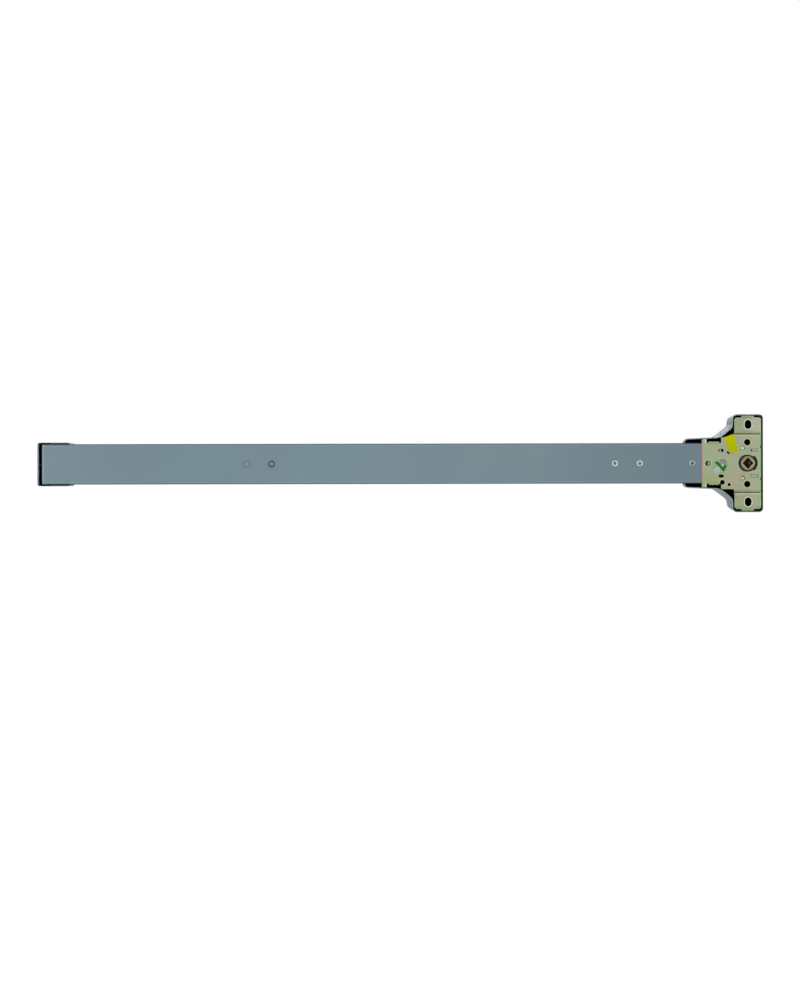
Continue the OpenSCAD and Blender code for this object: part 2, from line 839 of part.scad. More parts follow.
module touch_bar() {
    color([0.62, 0.66, 0.68])
        along_x(bar_left, bar_right)
            mirror([1, 0])
                translate([-bar_front, 0])
                    bent_u(0, bar_depth, bar_h / 2, bar_wall, bar_round);
}

// Moulded plug in an end of the touch bar: a flange and a hollow spigot
module touch_bar_plug(x, dir) {
    half = bar_h / 2 - bar_wall - 0.2;
    top = bar_inside - 0.2;
    color([0.14, 0.14, 0.15])
        translate([x, 0, 0])
            mirror([dir < 0 ? 1 : 0, 0, 0]) {
                along_x(0, plug_flange)
                    mirror([1, 0])
                        translate([-bar_front, 0])
                            tub_2d(0, bar_depth, bar_h / 2, bar_round);
                along_x(-plug_len, 0.1)
                    difference() {
                        mirror([1, 0])
                            translate([-top, 0])
                                tub_2d(0, top - bar_back - 2, half, bar_round - bar_wall);
                        translate([bar_back + 4, 2 - half])
                            square([top - bar_back - 6, 2 * half - 4]);
                    }
            }
}

// Flat rod on edge with a threaded end and a slot at each rocker
module pull_rod() {
    flat_right = right_pivot + rod_pin_dx + 22;
    flat_left = left_pivot + rod_pin_dx - 9;
    slot_w2 = rod_pin_d + 2 * slot_clear;
    color([0.72, 0.74, 0.76])
        difference() {
            union() {
                along_z(-rod_t / 2, rod_t / 2)
                    round_rect(flat_left, flat_right, rod_y - rod_w / 2, rod_y + rod_w / 2, 3);
                translate([flat_right - 10, rod_y, 0])
                    rotate([0, 90, 0])
                        cylinder(h = stud_end - flat_right + 10, r = stud_d / 2);
            }
            for (p = [left_pivot, right_pivot])
                along_z(-10, 10)
                    translate([p + rod_pin_dx, rod_y])
                        slot_2d(slot_w2, slot_w2 + abs(rod_y_high - rod_y_low) + 0.4);
        }
}

module hex_nut(x) {
    translate([x, rod_y, 0])
        rotate([0, 90, 0])
            difference() {
                cylinder(h = nut_t, r = nut_af / 2 / cos(30), $fn = 6);
                translate([0, 0, -1])
                    cylinder(h = nut_t + 2, r = stud_d / 2 + seat);
            }
}

module rod_nuts() {
    color([0.75, 0.77, 0.78]) {
        hex_nut(ear_x - nut_t);
        hex_nut(ear_x + ear_t);
        hex_nut(spring_right + 1.2);
    }
}

module spring_washer() {
    color([0.75, 0.77, 0.78])
        translate([spring_right, rod_y, 0])
            rotate([0, 90, 0])
                difference() {
                    cylinder(h = 1.2, r = spring_d / 2 + 0.3);
                    translate([0, 0, -1])
                        cylinder(h = 4, r = stud_d / 2 + seat);
                }
}

// Angle bracket that the spring pushes against, held by the tongue's rivet
module spring_bracket() {
    color([0.7, 0.71, 0.6])
        difference() {
            union() {
                translate([spring_left - bracket_t, plate_top, -9])
                    cube([40, bracket_t, 18]);
                along_x(spring_left - bracket_t, spring_left)
                    tub_upright(rod_y + 5);
            }
            rod_along_y(rivet_x[4], 0, 0, 8, rivet_r + seat);
            translate([spring_left - 5, rod_y, 0])
                rotate([0, 90, 0])
                    cylinder(h = 10, r = stud_d / 2 + 0.35);
        }
}

// Upright with two rounded top corners, drawn in Y and Z
module tub_upright(top) {
    mirror([1, 0])
        translate([-top, 0])
            tub_2d(0, top - plate_top, 9, 3);
}

module rubber_buffers() {
    low = hanger_low - bar_travel;
    color([0.12, 0.12, 0.13])
        for (station = [left_station, right_station], s = [-1, 1]) {
            pin_x = station - pivot_offset + pad_pin_dx;
            translate([pin_x - 5, gusset_top, s > 0 ? hanger_in - 1 : -hanger_out - 1])
                cube([10, low - gusset_top - 0.15, hanger_t + 2]);
        }
}

// Points of a ring of the spring's wire at parameter t from 0 to 1
function coil_ring(t, turns, r, wire, x0, x1, sides) =
    let (a = 360 * turns * t, x = x0 + (x1 - x0) * t, y = r * cos(a), z = r * sin(a))
    [for (k = [0:sides - 1])
        let (b = 360 * k / sides, out = r + wire / 2 * cos(b))
        [x + wire / 2 * sin(b), out * cos(a), out * sin(a)]];

// Compression spring wound round the rod's threaded end
module return_spring() {
    sides = 6;
    steps = 8 * spring_turns;
    r = (spring_d - spring_wire) / 2;
    x0 = spring_left + spring_wire / 2 + 0.05;
    x1 = spring_right - spring_wire / 2 - 0.05;
    rings = [for (i = [0:steps])
        coil_ring(i / steps, spring_turns, r, spring_wire, x0, x1, sides)];
    n = len(rings);
    echo(spring_gap = (x1 - x0) / spring_turns - spring_wire);
    color([0.5, 0.52, 0.54])
        translate([0, rod_y, 0])
            polyhedron(
                points = [for (ring = rings) each ring],
                faces = concat(
                    [for (i = [0:n - 2], k = [0:sides - 1])
                        let (a = i * sides + k, b = i * sides + (k + 1) % sides)
                        [a, b, a + sides]],
                    [for (i = [0:n - 2], k = [0:sides - 1])
                        let (a = i * sides + k, b = i * sides + (k + 1) % sides)
                        [b, b + sides, a + sides]],
                    [[for (k = [sides - 1:-1:0]) k]],
                    [[for (k = [0:sides - 1]) (n - 1) * sides + k]]
                )
            );
}

// Corners of the cover's outline in X and Z with their radii, anticlockwise
slope = 38.5;
flare_z = 44.36 + (head_left + 18) * tan(slope) + cover_wall / cos(slope);
flare_x = head_left - (flare_z - flare_half) / tan(slope);
cover_corners = [
    [[cover_left, neck_half], 5], [[cover_left, -neck_half], 5],
    [[flare_x, -flare_half], 14], [[head_left, -flare_z], flare_round],
    [[head_left, -head_half], 6], [[cover_right, -head_half], 5],
    [[cover_right, head_half], 5], [[head_left, head_half], 6],
    [[head_left, flare_z], flare_round], [[flare_x, flare_half], 14]
];

function unit(v) = v / norm(v);
function cross2(a, b) = a[0] * b[1] - a[1] * b[0];

// Where two lines meet, each given by a point and a direction
function meet(p, u, q, v) = p + u * cross2(q - p, v) / cross2(u, v);

// The corners drawn in by d, each with the radius that keeps the wall even
function inset(c, d) =
    let (n = len(c))
    [for (i = [0:n - 1])
        let (
            a = c[(i + n - 1) % n][0], b = c[i][0], e = c[(i + 1) % n][0],
            u = unit(b - a), v = unit(e - b),
            bulge = cross2(u, v) > 0,
            p = meet(b + d * [-u[1], u[0]], u, b + d * [-v[1], v[0]], v)
        )
        [p, bulge ? max(c[i][1] - d, 0.4) : c[i][1] + d]];

// The rounded outline as points, with the same count at each corner
function rounded(c, steps) =
    let (n = len(c))
    [for (i = [0:n - 1])
        let (
            a = c[(i + n - 1) % n][0], b = c[i][0], e = c[(i + 1) % n][0], r = c[i][1],
            u = unit(a - b), v = unit(e - b),
            half = acos(u * v) / 2,
            centre = b + unit(u + v) * r / sin(half),
            p = b + u * r / tan(half) - centre,
            q = b + v * r / tan(half) - centre,
            a0 = atan2(p[1], p[0]),
            turn = atan2(cross2(p, q), p * q)
        )
        for (k = [0:steps]) centre + r * [cos(a0 + turn * k / steps), sin(a0 + turn * k / steps)]];

// Front surface of the cover, which slopes down towards the lock end
function cover_front(x) =
    cover_depth_left + (cover_depth_right - cover_depth_left)
        * (x - cover_left) / (cover_right - cover_left);

// Points at each corner of the rounded outline
corner_points = 6;

// The point across the axis from point j of a ring of n
function mate(j, n) = (2 * corner_points - 1 - j + n) % n;

// Triangles that close a ring of n points, in strips across the axis
function lid(n) =
    let (b = 4 * corner_points)
    concat(
        [for (j = [corner_points:n / 2 + corner_points - 2])
            if (j < b - 1 || j > b)
                each [[j, j + 1, mate(j + 1, n)], [j, mate(j + 1, n), mate(j, n)]]],
        [
            [b - 1, b, b + 1], [b - 1, b + 1, mate(b + 1, n)],
            [b - 1, mate(b + 1, n), mate(b - 1, n)], [mate(b - 1, n), mate(b + 1, n), mate(b, n)]
        ]
    );

// Rings of the cover's skin, from the door to the front, drawn in by d
function skin_rings(d, r) = concat(
    [[for (p = rounded(inset(cover_corners, d), corner_points - 1)) [p[0], 0, p[1]]]],
    [for (k = [0:5])
        let (a = 18 * k, draw = d + r * (1 - cos(a)))
        [for (p = rounded(inset(cover_corners, draw), corner_points - 1))
            [p[0], cover_front(p[0]) - d - r * (1 - sin(a)), p[1]]]]
);

module head_cover() {
    outer = skin_rings(0, cover_round);
    inner = skin_rings(cover_wall, cover_round - cover_wall);
    n = len(outer[0]);
    m = len(outer);
    shell = concat(outer, inner);
    color([0.66, 0.69, 0.7])
        difference() {
            polyhedron(
                points = [for (ring = shell) each ring],
                faces = concat(
                    [for (j = [0:m - 2], i = [0:n - 1])
                        let (a = j * n + i, b = j * n + (i + 1) % n)
                        each [[a, a + n, b], [b, a + n, b + n]]],
                    [for (j = [m:2 * m - 2], i = [0:n - 1])
                        let (a = j * n + i, b = j * n + (i + 1) % n)
                        each [[a, b, a + n], [b, b + n, a + n]]],
                    [for (i = [0:n - 1])
                        let (a = i, b = (i + 1) % n)
                        each [[a, b, a + m * n], [b, b + m * n, a + m * n]]],
                    [for (t = lid(n)) [for (k = [2:-1:0]) (m - 1) * n + t[k]]],
                    [for (t = lid(n)) [for (k = [0:2]) (2 * m - 1) * n + t[k]]]
                )
            );
            // Mouth for the channel in the neck's end wall
            translate([cover_left - 5, -1, -half_h - 0.3])
                cube([cover_wall + 7, channel_depth + 1.3, 2 * half_h + 0.6]);
            // Countersunk holes for the two cover screws
            for (s = [-1, 1])
                translate([-0.5, 8, s * (head_half - cover_wall - 0.01)])
                    rotate([s > 0 ? 0 : 180, 0, 0])
                        cylinder(h = cover_wall + 0.03, r1 = 2.1, r2 = 3.7);
        }
}

module cover_screws() {
    color([0.6, 0.62, 0.64])
        for (s = [-1, 1])
            translate([-0.5, 8, 0])
                rotate([s > 0 ? 0 : 180, 0, 0]) {
                    translate([0, 0, head_half - cover_screw_len])
                        cylinder(h = cover_screw_len - cover_wall, r = 2 - seat);
                    translate([0, 0, head_half - cover_wall])
                        cylinder(h = cover_wall - 0.05, r1 = 2 - seat, r2 = 3.6);
                }
}

channel();
filler_cover();
end_cap();
end_insert();
end_cap_screw();
chassis_plate();
head_cover();
cover_screws();
mechanism_housing();
rear_bush();
guide_pins();
rocker_bracket(left_station);  // rocker_bracket_left
rocker_bracket(right_station);  // rocker_bracket_right
pivot_pin(left_station);  // pivot_pin_left
pivot_pin(right_station);  // pivot_pin_right
channel_rivets();
rubber_buffers();
spring_bracket();
return_spring();
touch_bar();
touch_bar_plug(bar_left, -1);  // touch_bar_plug_left
touch_bar_plug(bar_right, 1);  // touch_bar_plug_right
hanger(left_station);  // hanger_left
hanger(right_station);  // hanger_right
rocker(left_station);  // rocker_left
rocker(right_station);  // rocker_right
pad_pin(left_station);  // pad_pin_left
pad_pin(right_station);  // pad_pin_right
rod_pin(left_station);  // rod_pin_left
rod_pin(right_station);  // rod_pin_right
pull_rod();
rod_nuts();
spring_washer();
slide_plate();
follower();
crank_pin();
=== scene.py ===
# %% [markdown]
# A touch-bar exit device, seen from the side that lies on the door. The CAD model holds every piece
# at its real size, so this lesson only dresses it: each solid is copied, its edges are eased, and
# it gets the paint, plating or plastic that the real piece has. A few small things that CAD leaves
# plain, such as the rivets' heads and the stickers, are modelled here. Where the photograph shows a
# wall or an edge a little away from the CAD's, the copy is moved to it.

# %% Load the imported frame
import json
import math

import bmesh
import bpy
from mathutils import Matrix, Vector
from mathutils.bvhtree import BVHTree

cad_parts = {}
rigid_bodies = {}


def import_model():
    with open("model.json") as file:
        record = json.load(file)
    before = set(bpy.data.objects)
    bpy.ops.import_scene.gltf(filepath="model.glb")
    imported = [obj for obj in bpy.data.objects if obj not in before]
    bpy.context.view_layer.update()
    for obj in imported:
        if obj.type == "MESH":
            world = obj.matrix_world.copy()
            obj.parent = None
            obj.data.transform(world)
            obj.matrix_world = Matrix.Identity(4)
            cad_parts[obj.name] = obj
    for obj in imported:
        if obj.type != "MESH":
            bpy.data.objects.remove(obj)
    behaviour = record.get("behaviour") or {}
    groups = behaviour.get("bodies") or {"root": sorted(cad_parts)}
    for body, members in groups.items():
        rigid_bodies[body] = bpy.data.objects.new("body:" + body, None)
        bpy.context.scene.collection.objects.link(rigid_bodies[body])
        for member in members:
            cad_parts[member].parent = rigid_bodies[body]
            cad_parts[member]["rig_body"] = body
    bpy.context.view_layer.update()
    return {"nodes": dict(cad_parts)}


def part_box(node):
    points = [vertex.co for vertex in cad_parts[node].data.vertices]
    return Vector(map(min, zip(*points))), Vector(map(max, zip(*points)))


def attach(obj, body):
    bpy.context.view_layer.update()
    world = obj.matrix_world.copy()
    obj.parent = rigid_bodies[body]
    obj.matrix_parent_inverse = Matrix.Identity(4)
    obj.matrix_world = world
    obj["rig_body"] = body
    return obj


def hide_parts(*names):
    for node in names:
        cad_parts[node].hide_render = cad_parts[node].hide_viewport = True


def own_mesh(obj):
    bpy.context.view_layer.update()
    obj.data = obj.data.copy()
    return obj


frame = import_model()
nodes = frame["nodes"]
body_of = {name: nodes[name]["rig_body"] for name in nodes}
MM = 0.001

# %% [markdown]
# Colours are read off as screen values from 0 to 255, but shaders work with linear light. This
# function turns one into the other, so that a finish can be written with the numbers one sees.


# %% Colours as they are seen
def seen(red, green, blue):
    """The linear colour of a screen colour from 0 to 255."""
    def linear(v):
        v /= 255
        return v / 12.92 if v <= 0.04045 else ((v + 0.055) / 1.055) ** 2.4
    return (linear(red), linear(green), linear(blue), 1.0)


print("the channel's grey in linear light:", [round(v, 3) for v in seen(125, 144, 151)])

# %% [markdown]
# A finish is a small sum: so much base colour, plus a little grain, minus what has worn off. Shader
# nodes could be wired one by one, but a sum is easier to read. Signal wraps a socket, and Python's
# own signs then add the Math nodes. Board is a tree of nodes, and its add method makes any other
# node. Finish is the tree of one material.


# %% Sums on shader sockets
class Signal:
    """A shader socket that Python's sums work on."""

    def __init__(self, board, socket):
        self.board, self.socket = board, socket

    def math(self, operation, first, second):
        return self.board.add("ShaderNodeMath", {"operation": operation}, {0: first, 1: second})

    def __add__(self, other):
        return self.math("ADD", self, other)

    def __sub__(self, other):
        return self.math("SUBTRACT", self, other)

    def __rsub__(self, other):
        return self.math("SUBTRACT", other, self)

    def __mul__(self, other):
        return self.math("MULTIPLY", self, other)

    def __gt__(self, other):
        return self.math("GREATER_THAN", self, other)

    def __lt__(self, other):
        return self.math("LESS_THAN", self, other)

    def __abs__(self):
        return self.math("ABSOLUTE", self, 0.0)

    def at_least(self, other):
        return self.math("MAXIMUM", self, other)

    def root(self):
        return self.math("SQRT", self, 0.0)

    def sine(self):
        return self.math("SINE", self, 0.0)

    __radd__ = __add__
    __rmul__ = __mul__


class Board:
    """A tree of nodes, of a material or of the world."""

    def __init__(self, tree):
        self.tree = tree

    def add(self, kind, settings=None, inputs=None, output=0):
        """Makes a node, sets it, then fills its sockets. Gives one of its outputs as a signal."""
        node = self.tree.nodes.new(kind)
        for key, value in (settings or {}).items():
            if key == "stops":
                ramp = node.color_ramp
                while len(ramp.elements) < len(value):
                    ramp.elements.new(0.5)
                for stop, (place, colour) in zip(ramp.elements, value):
                    stop.position, stop.color = place, colour
            else:
                setattr(node, key, value)
        for key, value in (inputs or {}).items():
            if isinstance(value, Signal):
                self.tree.links.new(value.socket, node.inputs[key])
            else:
                node.inputs[key].default_value = value
        return Signal(self, node.outputs[output])

    def looked_at(self):
        """1 for what the camera sees, straight or in a reflection, and 0 for light given."""
        rays = [self.add("ShaderNodeLightPath", output="Is " + ray + " Ray")
                for ray in ("Camera", "Glossy", "Transmission")]
        return (rays[0] + rays[1] + rays[2]) > 0.5


class Finish(Board):
    """One material, with a Principled shader and the nodes that feed it."""

    def __init__(self, name, **constants):
        self.material = bpy.data.materials.new(name)
        self.material.use_nodes = True
        super().__init__(self.material.node_tree)
        self.shader = self.tree.nodes["Principled BSDF"]
        self.set(**constants)

    def set(self, **values):
        """Sets the shader's sockets: base_color=..., roughness=..., a constant or a signal."""
        for key, value in values.items():
            socket = self.shader.inputs[key.replace("_", " ").title().replace("Ior", "IOR")]
            if isinstance(value, Signal):
                self.tree.links.new(value.socket, socket)
            else:
                socket.default_value = value
        return self

    def place(self):
        """The point on the object, in metres in the frame shared with the CAD."""
        return self.add("ShaderNodeTexCoord", output=3)

    def along(self, axis):
        """One coordinate of the point: "X", "Y" or "Z"."""
        return self.add("ShaderNodeSeparateXYZ", inputs={0: self.place()}, output="XYZ".index(axis))

    def facing(self):
        """The Y part of the outward normal: 1 on what faces the room and 0 on a flank."""
        outward = self.add("ShaderNodeTexCoord", output=1)
        return self.add("ShaderNodeSeparateXYZ", inputs={0: outward}, output=1)

    def noise(self, size, detail=2.0, rough=0.5, stretch=(1, 1, 1)):
        """Noise from 0 to 1 whose blotches are about size metres across."""
        turned = self.add("ShaderNodeMapping", inputs={0: self.place(), 3: stretch})
        return self.add("ShaderNodeTexNoise", inputs={
            "Vector": turned, "Scale": 0.5 / size, "Detail": detail, "Roughness": rough})

    def above(self, signal, low, high):
        """A smooth step from 0 to 1 as the signal goes from low to high."""
        return self.add("ShaderNodeMapRange", {"interpolation_type": "SMOOTHSTEP"},
                        {0: signal, 1: low, 2: high, 3: 0.0, 4: 1.0})

    def below(self, signal, low, high):
        """A smooth step from 1 to 0 as the signal goes from low to high."""
        return 1 - self.above(signal, low, high)

    def band(self, signal, centre, half, soft):
        """1 where the signal is within half of the centre, fading over soft."""
        return self.below(abs(signal - centre), half, half + soft)

    def mix(self, share, first, second):
        """First colour to second colour by a share from 0 to 1."""
        return self.add("ShaderNodeMix", {"data_type": "RGBA"}, {0: share, 6: first, 7: second},
                        output=2)

    def tint(self, spots):
        """Mixes in more colours. Each spot is a share from 0 to 1 and a seen colour."""
        tone = Signal(self, self.shader.inputs["Base Color"].links[0].from_socket)
        for share, colour in spots:
            tone = self.mix(share, tone, seen(*colour))
        return self.set(base_color=tone)

    def ramp(self, signal, stops):
        return self.add("ShaderNodeValToRGB", {"stops": stops}, {0: signal})

    def bump(self, height, depth):
        """Feeds the height, from 0 to 1, to the shader as bumps so many metres deep."""
        normal = self.add("ShaderNodeBump", inputs={
            "Strength": 1.0, "Distance": depth, "Height": height})
        return self.set(normal=normal)


def distance(first, second):
    """How far a point lies from the line where both of these coordinates are 0."""
    return (first * first + second * second).root()


print("shader tools ready")

# %% [markdown]
# The channel is rolled steel with a baked powder coat. Such a coat is a satin plastic skin: it
# pools into soft waves about a millimetre across, called orange peel, keeps a little dust and
# shows faint scuffs. Bumps do for the peel, because it is far too fine to model.


# %% Powder coat
def powder_coat(name, light, dark, peel=0.9):
    """A satin coat between two seen colours, with orange peel and faint scuffs."""
    coat = Finish(name, metallic=0.0, specular_ior_level=0.2)
    cloud = coat.noise(0.16, detail=3)
    speck = coat.noise(0.0022, detail=1)
    scuff = coat.above(coat.noise(0.012, detail=6, rough=0.7, stretch=(0.25, 1, 1)), 0.60, 0.74)
    tone = coat.mix(coat.above(cloud, 0.3, 0.7), seen(*light), seen(*dark))
    tone = coat.mix(coat.above(speck, 0.62, 0.8) * 0.25, tone, seen(*[0.8 * v for v in dark]))
    tone = coat.mix(scuff * 0.22, tone, seen(*[min(255, 1.22 * v) for v in light]))
    coat.set(base_color=tone, roughness=0.5 + scuff * 0.12 + cloud * 0.08)
    return coat.bump(coat.noise(0.0007, detail=1) * peel + scuff * 0.2, 0.00003)


# Painted shade: the channel gets darker towards the head, and it is bluer round the far rivets
grey_coat = powder_coat("grey_powder_coat", (128, 148, 154), (118, 139, 149))
along, height = grey_coat.along("X"), grey_coat.along("Z")
head_shade = grey_coat.above(along, -0.36, -0.05)
bluer = grey_coat.band(along, -0.59, 0.06, 0.18)
# A line of painted shade over both bends, darker at the bottom, and a painted highlight inside each
inside = grey_coat.band(abs(height), 0.0226, 0.0003, 0.0005)
bend_shade = grey_coat.above(abs(height), 0.0234, 0.0244)
bend_shade = bend_shade * grey_coat.below(grey_coat.along("Y"), 0.0016, 0.0040)
# The cut end is dark green, with a pale line beside it
lip = grey_coat.band(along, -0.8702, 0.0004, 0.0005)
cut = grey_coat.below(along, -0.8712, -0.8706)
grey_coat.tint([(head_shade * 0.65, (108, 126, 136)), (bluer * 0.3, (104, 132, 146)),
                (inside * 0.25, (150, 168, 176)),
                (bend_shade * ((height < 0.0) * 0.3 + 0.5), (72, 88, 96)),
                (lip * 0.5, (156, 196, 192)), (cut, (14, 72, 52))])
print("powder coat:", len(grey_coat.tree.nodes), "nodes")

# %% [markdown]
# The head cover and the touch bar are sprayed with silver lacquer. The lacquer is a clear
# binder with aluminium flakes in it, so it is a little metallic, and each flake leans its own
# way. A fine cell pattern tilts the surface from flake to flake. What faces the room is sprayed
# fully and shines. The flanks got less of the spray and stay matt.


# %% Silver lacquer
def silver_lacquer(name, light, dark, flake=0.00035):
    """Silver between two seen colours, with flakes so many metres across."""
    paint = Finish(name, specular_ior_level=0.02, coat_roughness=0.3)
    cells = paint.add("ShaderNodeTexVoronoi", {"feature": "F1"}, {
        "Vector": paint.place(), "Scale": 1 / flake, "Randomness": 1.0}, output=1)
    sparkle = paint.add("ShaderNodeSeparateXYZ", inputs={0: cells})
    cloud = paint.noise(0.05, detail=4)
    tone = paint.mix(paint.above(cloud, 0.35, 0.7), seen(*light), seen(*dark))
    tone = paint.mix(sparkle * 0.16, tone, seen(*[min(255, 1.2 * v) for v in light]))
    rub = paint.above(paint.noise(0.02, detail=7, rough=0.75), 0.62, 0.8)
    front = paint.above(paint.facing(), 0.3, 0.7)
    paint.set(base_color=tone, roughness=0.46 + sparkle * 0.1 + rub * 0.1, metallic=front * 0.3,
              coat_weight=front * 0.2)
    return paint.bump(sparkle * 0.6 + paint.noise(0.0012, detail=1), 0.000012)


cover_lacquer = silver_lacquer("silver_lacquer", (168, 179, 181), (152, 165, 168))
bar_lacquer = silver_lacquer("silver_bar_lacquer", (186, 190, 193), (174, 179, 183), 0.0003)
print("lacquers:", cover_lacquer.material.name, bar_lacquer.material.name)

# %% [markdown]
# The cover and the cap are open at the back, and one looks past their rims into hollows that
# hardly any light reaches. That shade is painted onto their inner faces as a matt black, a little
# paler where dust has settled. A plain black would do from afar, but it would look like a hole from
# near by.

# %% Painted shade of the hollows
hollow_shade_black = Finish("hollow_shade_black", metallic=0.0, roughness=0.8, specular_ior_level=0.1)
dust = hollow_shade_black.noise(0.006, detail=5, rough=0.7)
dusty = hollow_shade_black.above(dust, 0.4, 0.8)
hollow_shade_black.set(base_color=hollow_shade_black.mix(dusty, seen(5, 6, 7), seen(15, 17, 19)))
hollow_shade_black.bump(dust, 0.00004)
print("hollows:", hollow_shade_black.material.name)

# %% [markdown]
# The chassis plate is steel with yellow zinc: a bright zinc layer under a chromate film so thin
# that it shows greens, pinks and yellows as oil does on water. The film is thicker at the bends,
# and there it turns brown. The colour therefore runs through a ramp of the film's thickness, which
# is a slow noise with finer ones in it, over a metal that shines a little.


# %% Yellow zinc
def yellow_zinc(name, bends=()):
    """Chromated zinc. Bends are the heights, in metres, of brown bend lines across the plate, each
    with a painted highlight below it and painted shade above it.
    """
    zinc = Finish(name, metallic=0.3, specular_ior_level=0.3)
    slow = zinc.noise(0.03, detail=3, rough=0.55)
    fine = zinc.noise(0.004, detail=4, rough=0.65)
    film = slow * 0.5 + zinc.noise(0.011, detail=3) * 0.3 + fine * 0.2
    tone = zinc.ramp(film, [
        (0.22, seen(130, 157, 114)), (0.38, seen(144, 159, 124)), (0.46, seen(154, 158, 132)),
        (0.53, seen(144, 161, 124)), (0.60, seen(160, 153, 128)), (0.70, seen(136, 159, 124))])
    grain = zinc.noise(0.0008, detail=3, rough=0.7)
    tone = zinc.mix(zinc.above(grain, 0.55, 0.8) * 0.3, tone, seen(182, 186, 160))
    height = zinc.along("Z")
    for place in bends:
        line = zinc.band(height, place, 0.0007, 0.0006)
        # Beside each line, a painted highlight below it and painted shade above it
        bend_line_highlight = zinc.band(height, place - 0.0019, 0.0004, 0.0005)
        bend_line_shade = zinc.band(height, place + 0.0017, 0.0007, 0.0013)
        tone = zinc.mix(bend_line_highlight * 0.5, tone, seen(196, 194, 166))
        tone = zinc.mix(bend_line_shade * 0.45, tone, seen(112, 122, 88))
        tone = zinc.mix(line * 0.9, tone, seen(78, 66, 36))
    stain = zinc.above(zinc.noise(0.009, detail=5, rough=0.7), 0.62, 0.74)
    tone = zinc.mix(stain * 0.35, tone, seen(164, 134, 86))
    zinc.set(base_color=tone, roughness=0.4 + grain * 0.16 + stain * 0.1)
    return zinc.bump(grain * 0.7 + fine * 0.3, 0.00002)


plate_zinc = yellow_zinc("yellow_zinc_plate", (-0.036, 0.036))
plain_zinc = yellow_zinc("yellow_zinc")
print("zinc finishes:", plate_zinc.material.name, plain_zinc.material.name)

# %% [markdown]
# A film of chromate isn't the same all over a plate. Where a region has its own colour in the
# photograph, a mask picks it out by its coordinates and the colour is mixed in. The masks are bands
# and smooth steps, because such a film changes softly from one colour to the next.

# %% Local tints
# Pink where the plate's edge meets the channel, brown where its side flanges are bent away, a pale
# green painted highlight on the small ears, green towards the lock edge and the bottom edge,
# yellower by the lower notch, and a brown line under the top edge
across, height = plate_zinc.along("X"), plate_zinc.along("Z")
up = abs(height)
meeting = plate_zinc.band(across, -0.0560, 0.0005, 0.0005) * (up < 0.0251)
flanks = plate_zinc.band(up, 0.0247, 0.0004, 0.0006)
flanks = flanks * plate_zinc.band(across, -0.0420, 0.0064, 0.001)
ear_highlight = plate_zinc.band(across, -0.0522, 0.0008, 0.0006) * plate_zinc.above(up, 0.0240, 0.0262)
green = plate_zinc.above(across, 0.0138, 0.0152)
foot = plate_zinc.below(height, -0.0545, -0.0525)
yellow = plate_zinc.band(across, -0.0470, 0.0060, 0.0080)
yellow = yellow * plate_zinc.band(height, -0.0210, 0.0020, 0.0120)
brim = plate_zinc.band(height, 0.0562, 0.0007, 0.0008)
plate_zinc.tint([(meeting * 0.7, (212, 160, 138)), (flanks * 0.6, (150, 122, 76)),
                 (ear_highlight * 0.7, (204, 218, 176)), (green * 0.75, (158, 204, 138)),
                 (foot * 0.6, (118, 152, 92)), (yellow * 0.3, (138, 148, 86)),
                 (brim * 0.45, (134, 122, 88))])
# The lugs are a little darker, the upper one warmer on its right, and the lock side is greyer
lugs = plate_zinc.above(up, 0.0375, 0.0405)
warmer = plate_zinc.above(across, 0.0030, 0.0070) * plate_zinc.above(height, 0.0375, 0.0405)
greyer = plate_zinc.band(across, 0.0085, 0.0030, 0.0030)
plate_zinc.tint([(warmer * 0.4, (200, 192, 178)), (lugs * 0.1, (80, 96, 76)),
                 (greyer * 0.15, (190, 172, 160))])
# Painted shade lies in the groove round each guide pin, mostly at its upper right
PIN_X, PIN_Z = -6.7, 18.7
for side, groove_shade in ((1, 0.6), (-1, 0.7)):
    dx = across - PIN_X * MM
    dz = height - side * PIN_Z * MM
    groove = plate_zinc.band(distance(dx, dz), 0.0027, 0.0003, 0.0005)
    groove = groove * plate_zinc.above(dx + dz * 0.6, 0.0000, 0.0020)
    plate_zinc.tint([(groove * groove_shade, (72, 72, 48))])
# Painted shade darkens the housing where it lies deep under the cover
painted_shade = plain_zinc.above(plain_zinc.along("Y"), 0.0085, 0.0150)
plain_zinc.tint([(painted_shade * 0.93, (22, 24, 20))])
print("plate finish:", len(plate_zinc.tree.nodes), "nodes")


# %% Painted rings round holes and rivets
def painted_ring(finish, x, z, radius, share, colour, tall=0.0):
    """A ring of painted light or shade round a hole, or round a slot so much taller than it is
    wide.
    """
    dx = finish.along("X") - x * MM
    dz = (abs(finish.along("Z") - z * MM) - tall / 2 * MM).at_least(0.0)
    ring = finish.band(distance(dx, dz), (radius + 0.3) * MM, 0.0005, 0.0006)
    finish.tint([(ring * share, colour)])


# Painted highlights ring the plate's slots and holes
for side in (-1, 1):
    painted_ring(plate_zinc, 0.0, 47.75 * side, 4.2, 0.65, (216, 226, 192), tall=2.6)
    painted_ring(plate_zinc, -0.8, 25.85 * side, 4.0, 0.35, (196, 204, 164))
for x, z, radius in ((-31.5, -23.6, 3.0), (-23.1, -26.4, 2.1), (-49.0, -0.2, 3.7)):
    painted_ring(plate_zinc, x, z, radius, 0.35, (196, 204, 164))
# A ring of painted shade lies round each rivet
RIVET_PLACES = (-618.8, -588.1, -164.3, -133.6, -68.8)
for x in RIVET_PLACES:
    painted_ring(grey_coat, x, 0.0, 4.1, 0.4, (86, 102, 110))
print("rings on the channel:", len(RIVET_PLACES))

# %% [markdown]
# The rest of the metal is bare or plainly plated. Bright pins are ground and have a fine grain.
# Rolled and drawn pieces are duller, with long marks. One function does both, and draws the marks
# out along a chosen axis by stretching the noise.


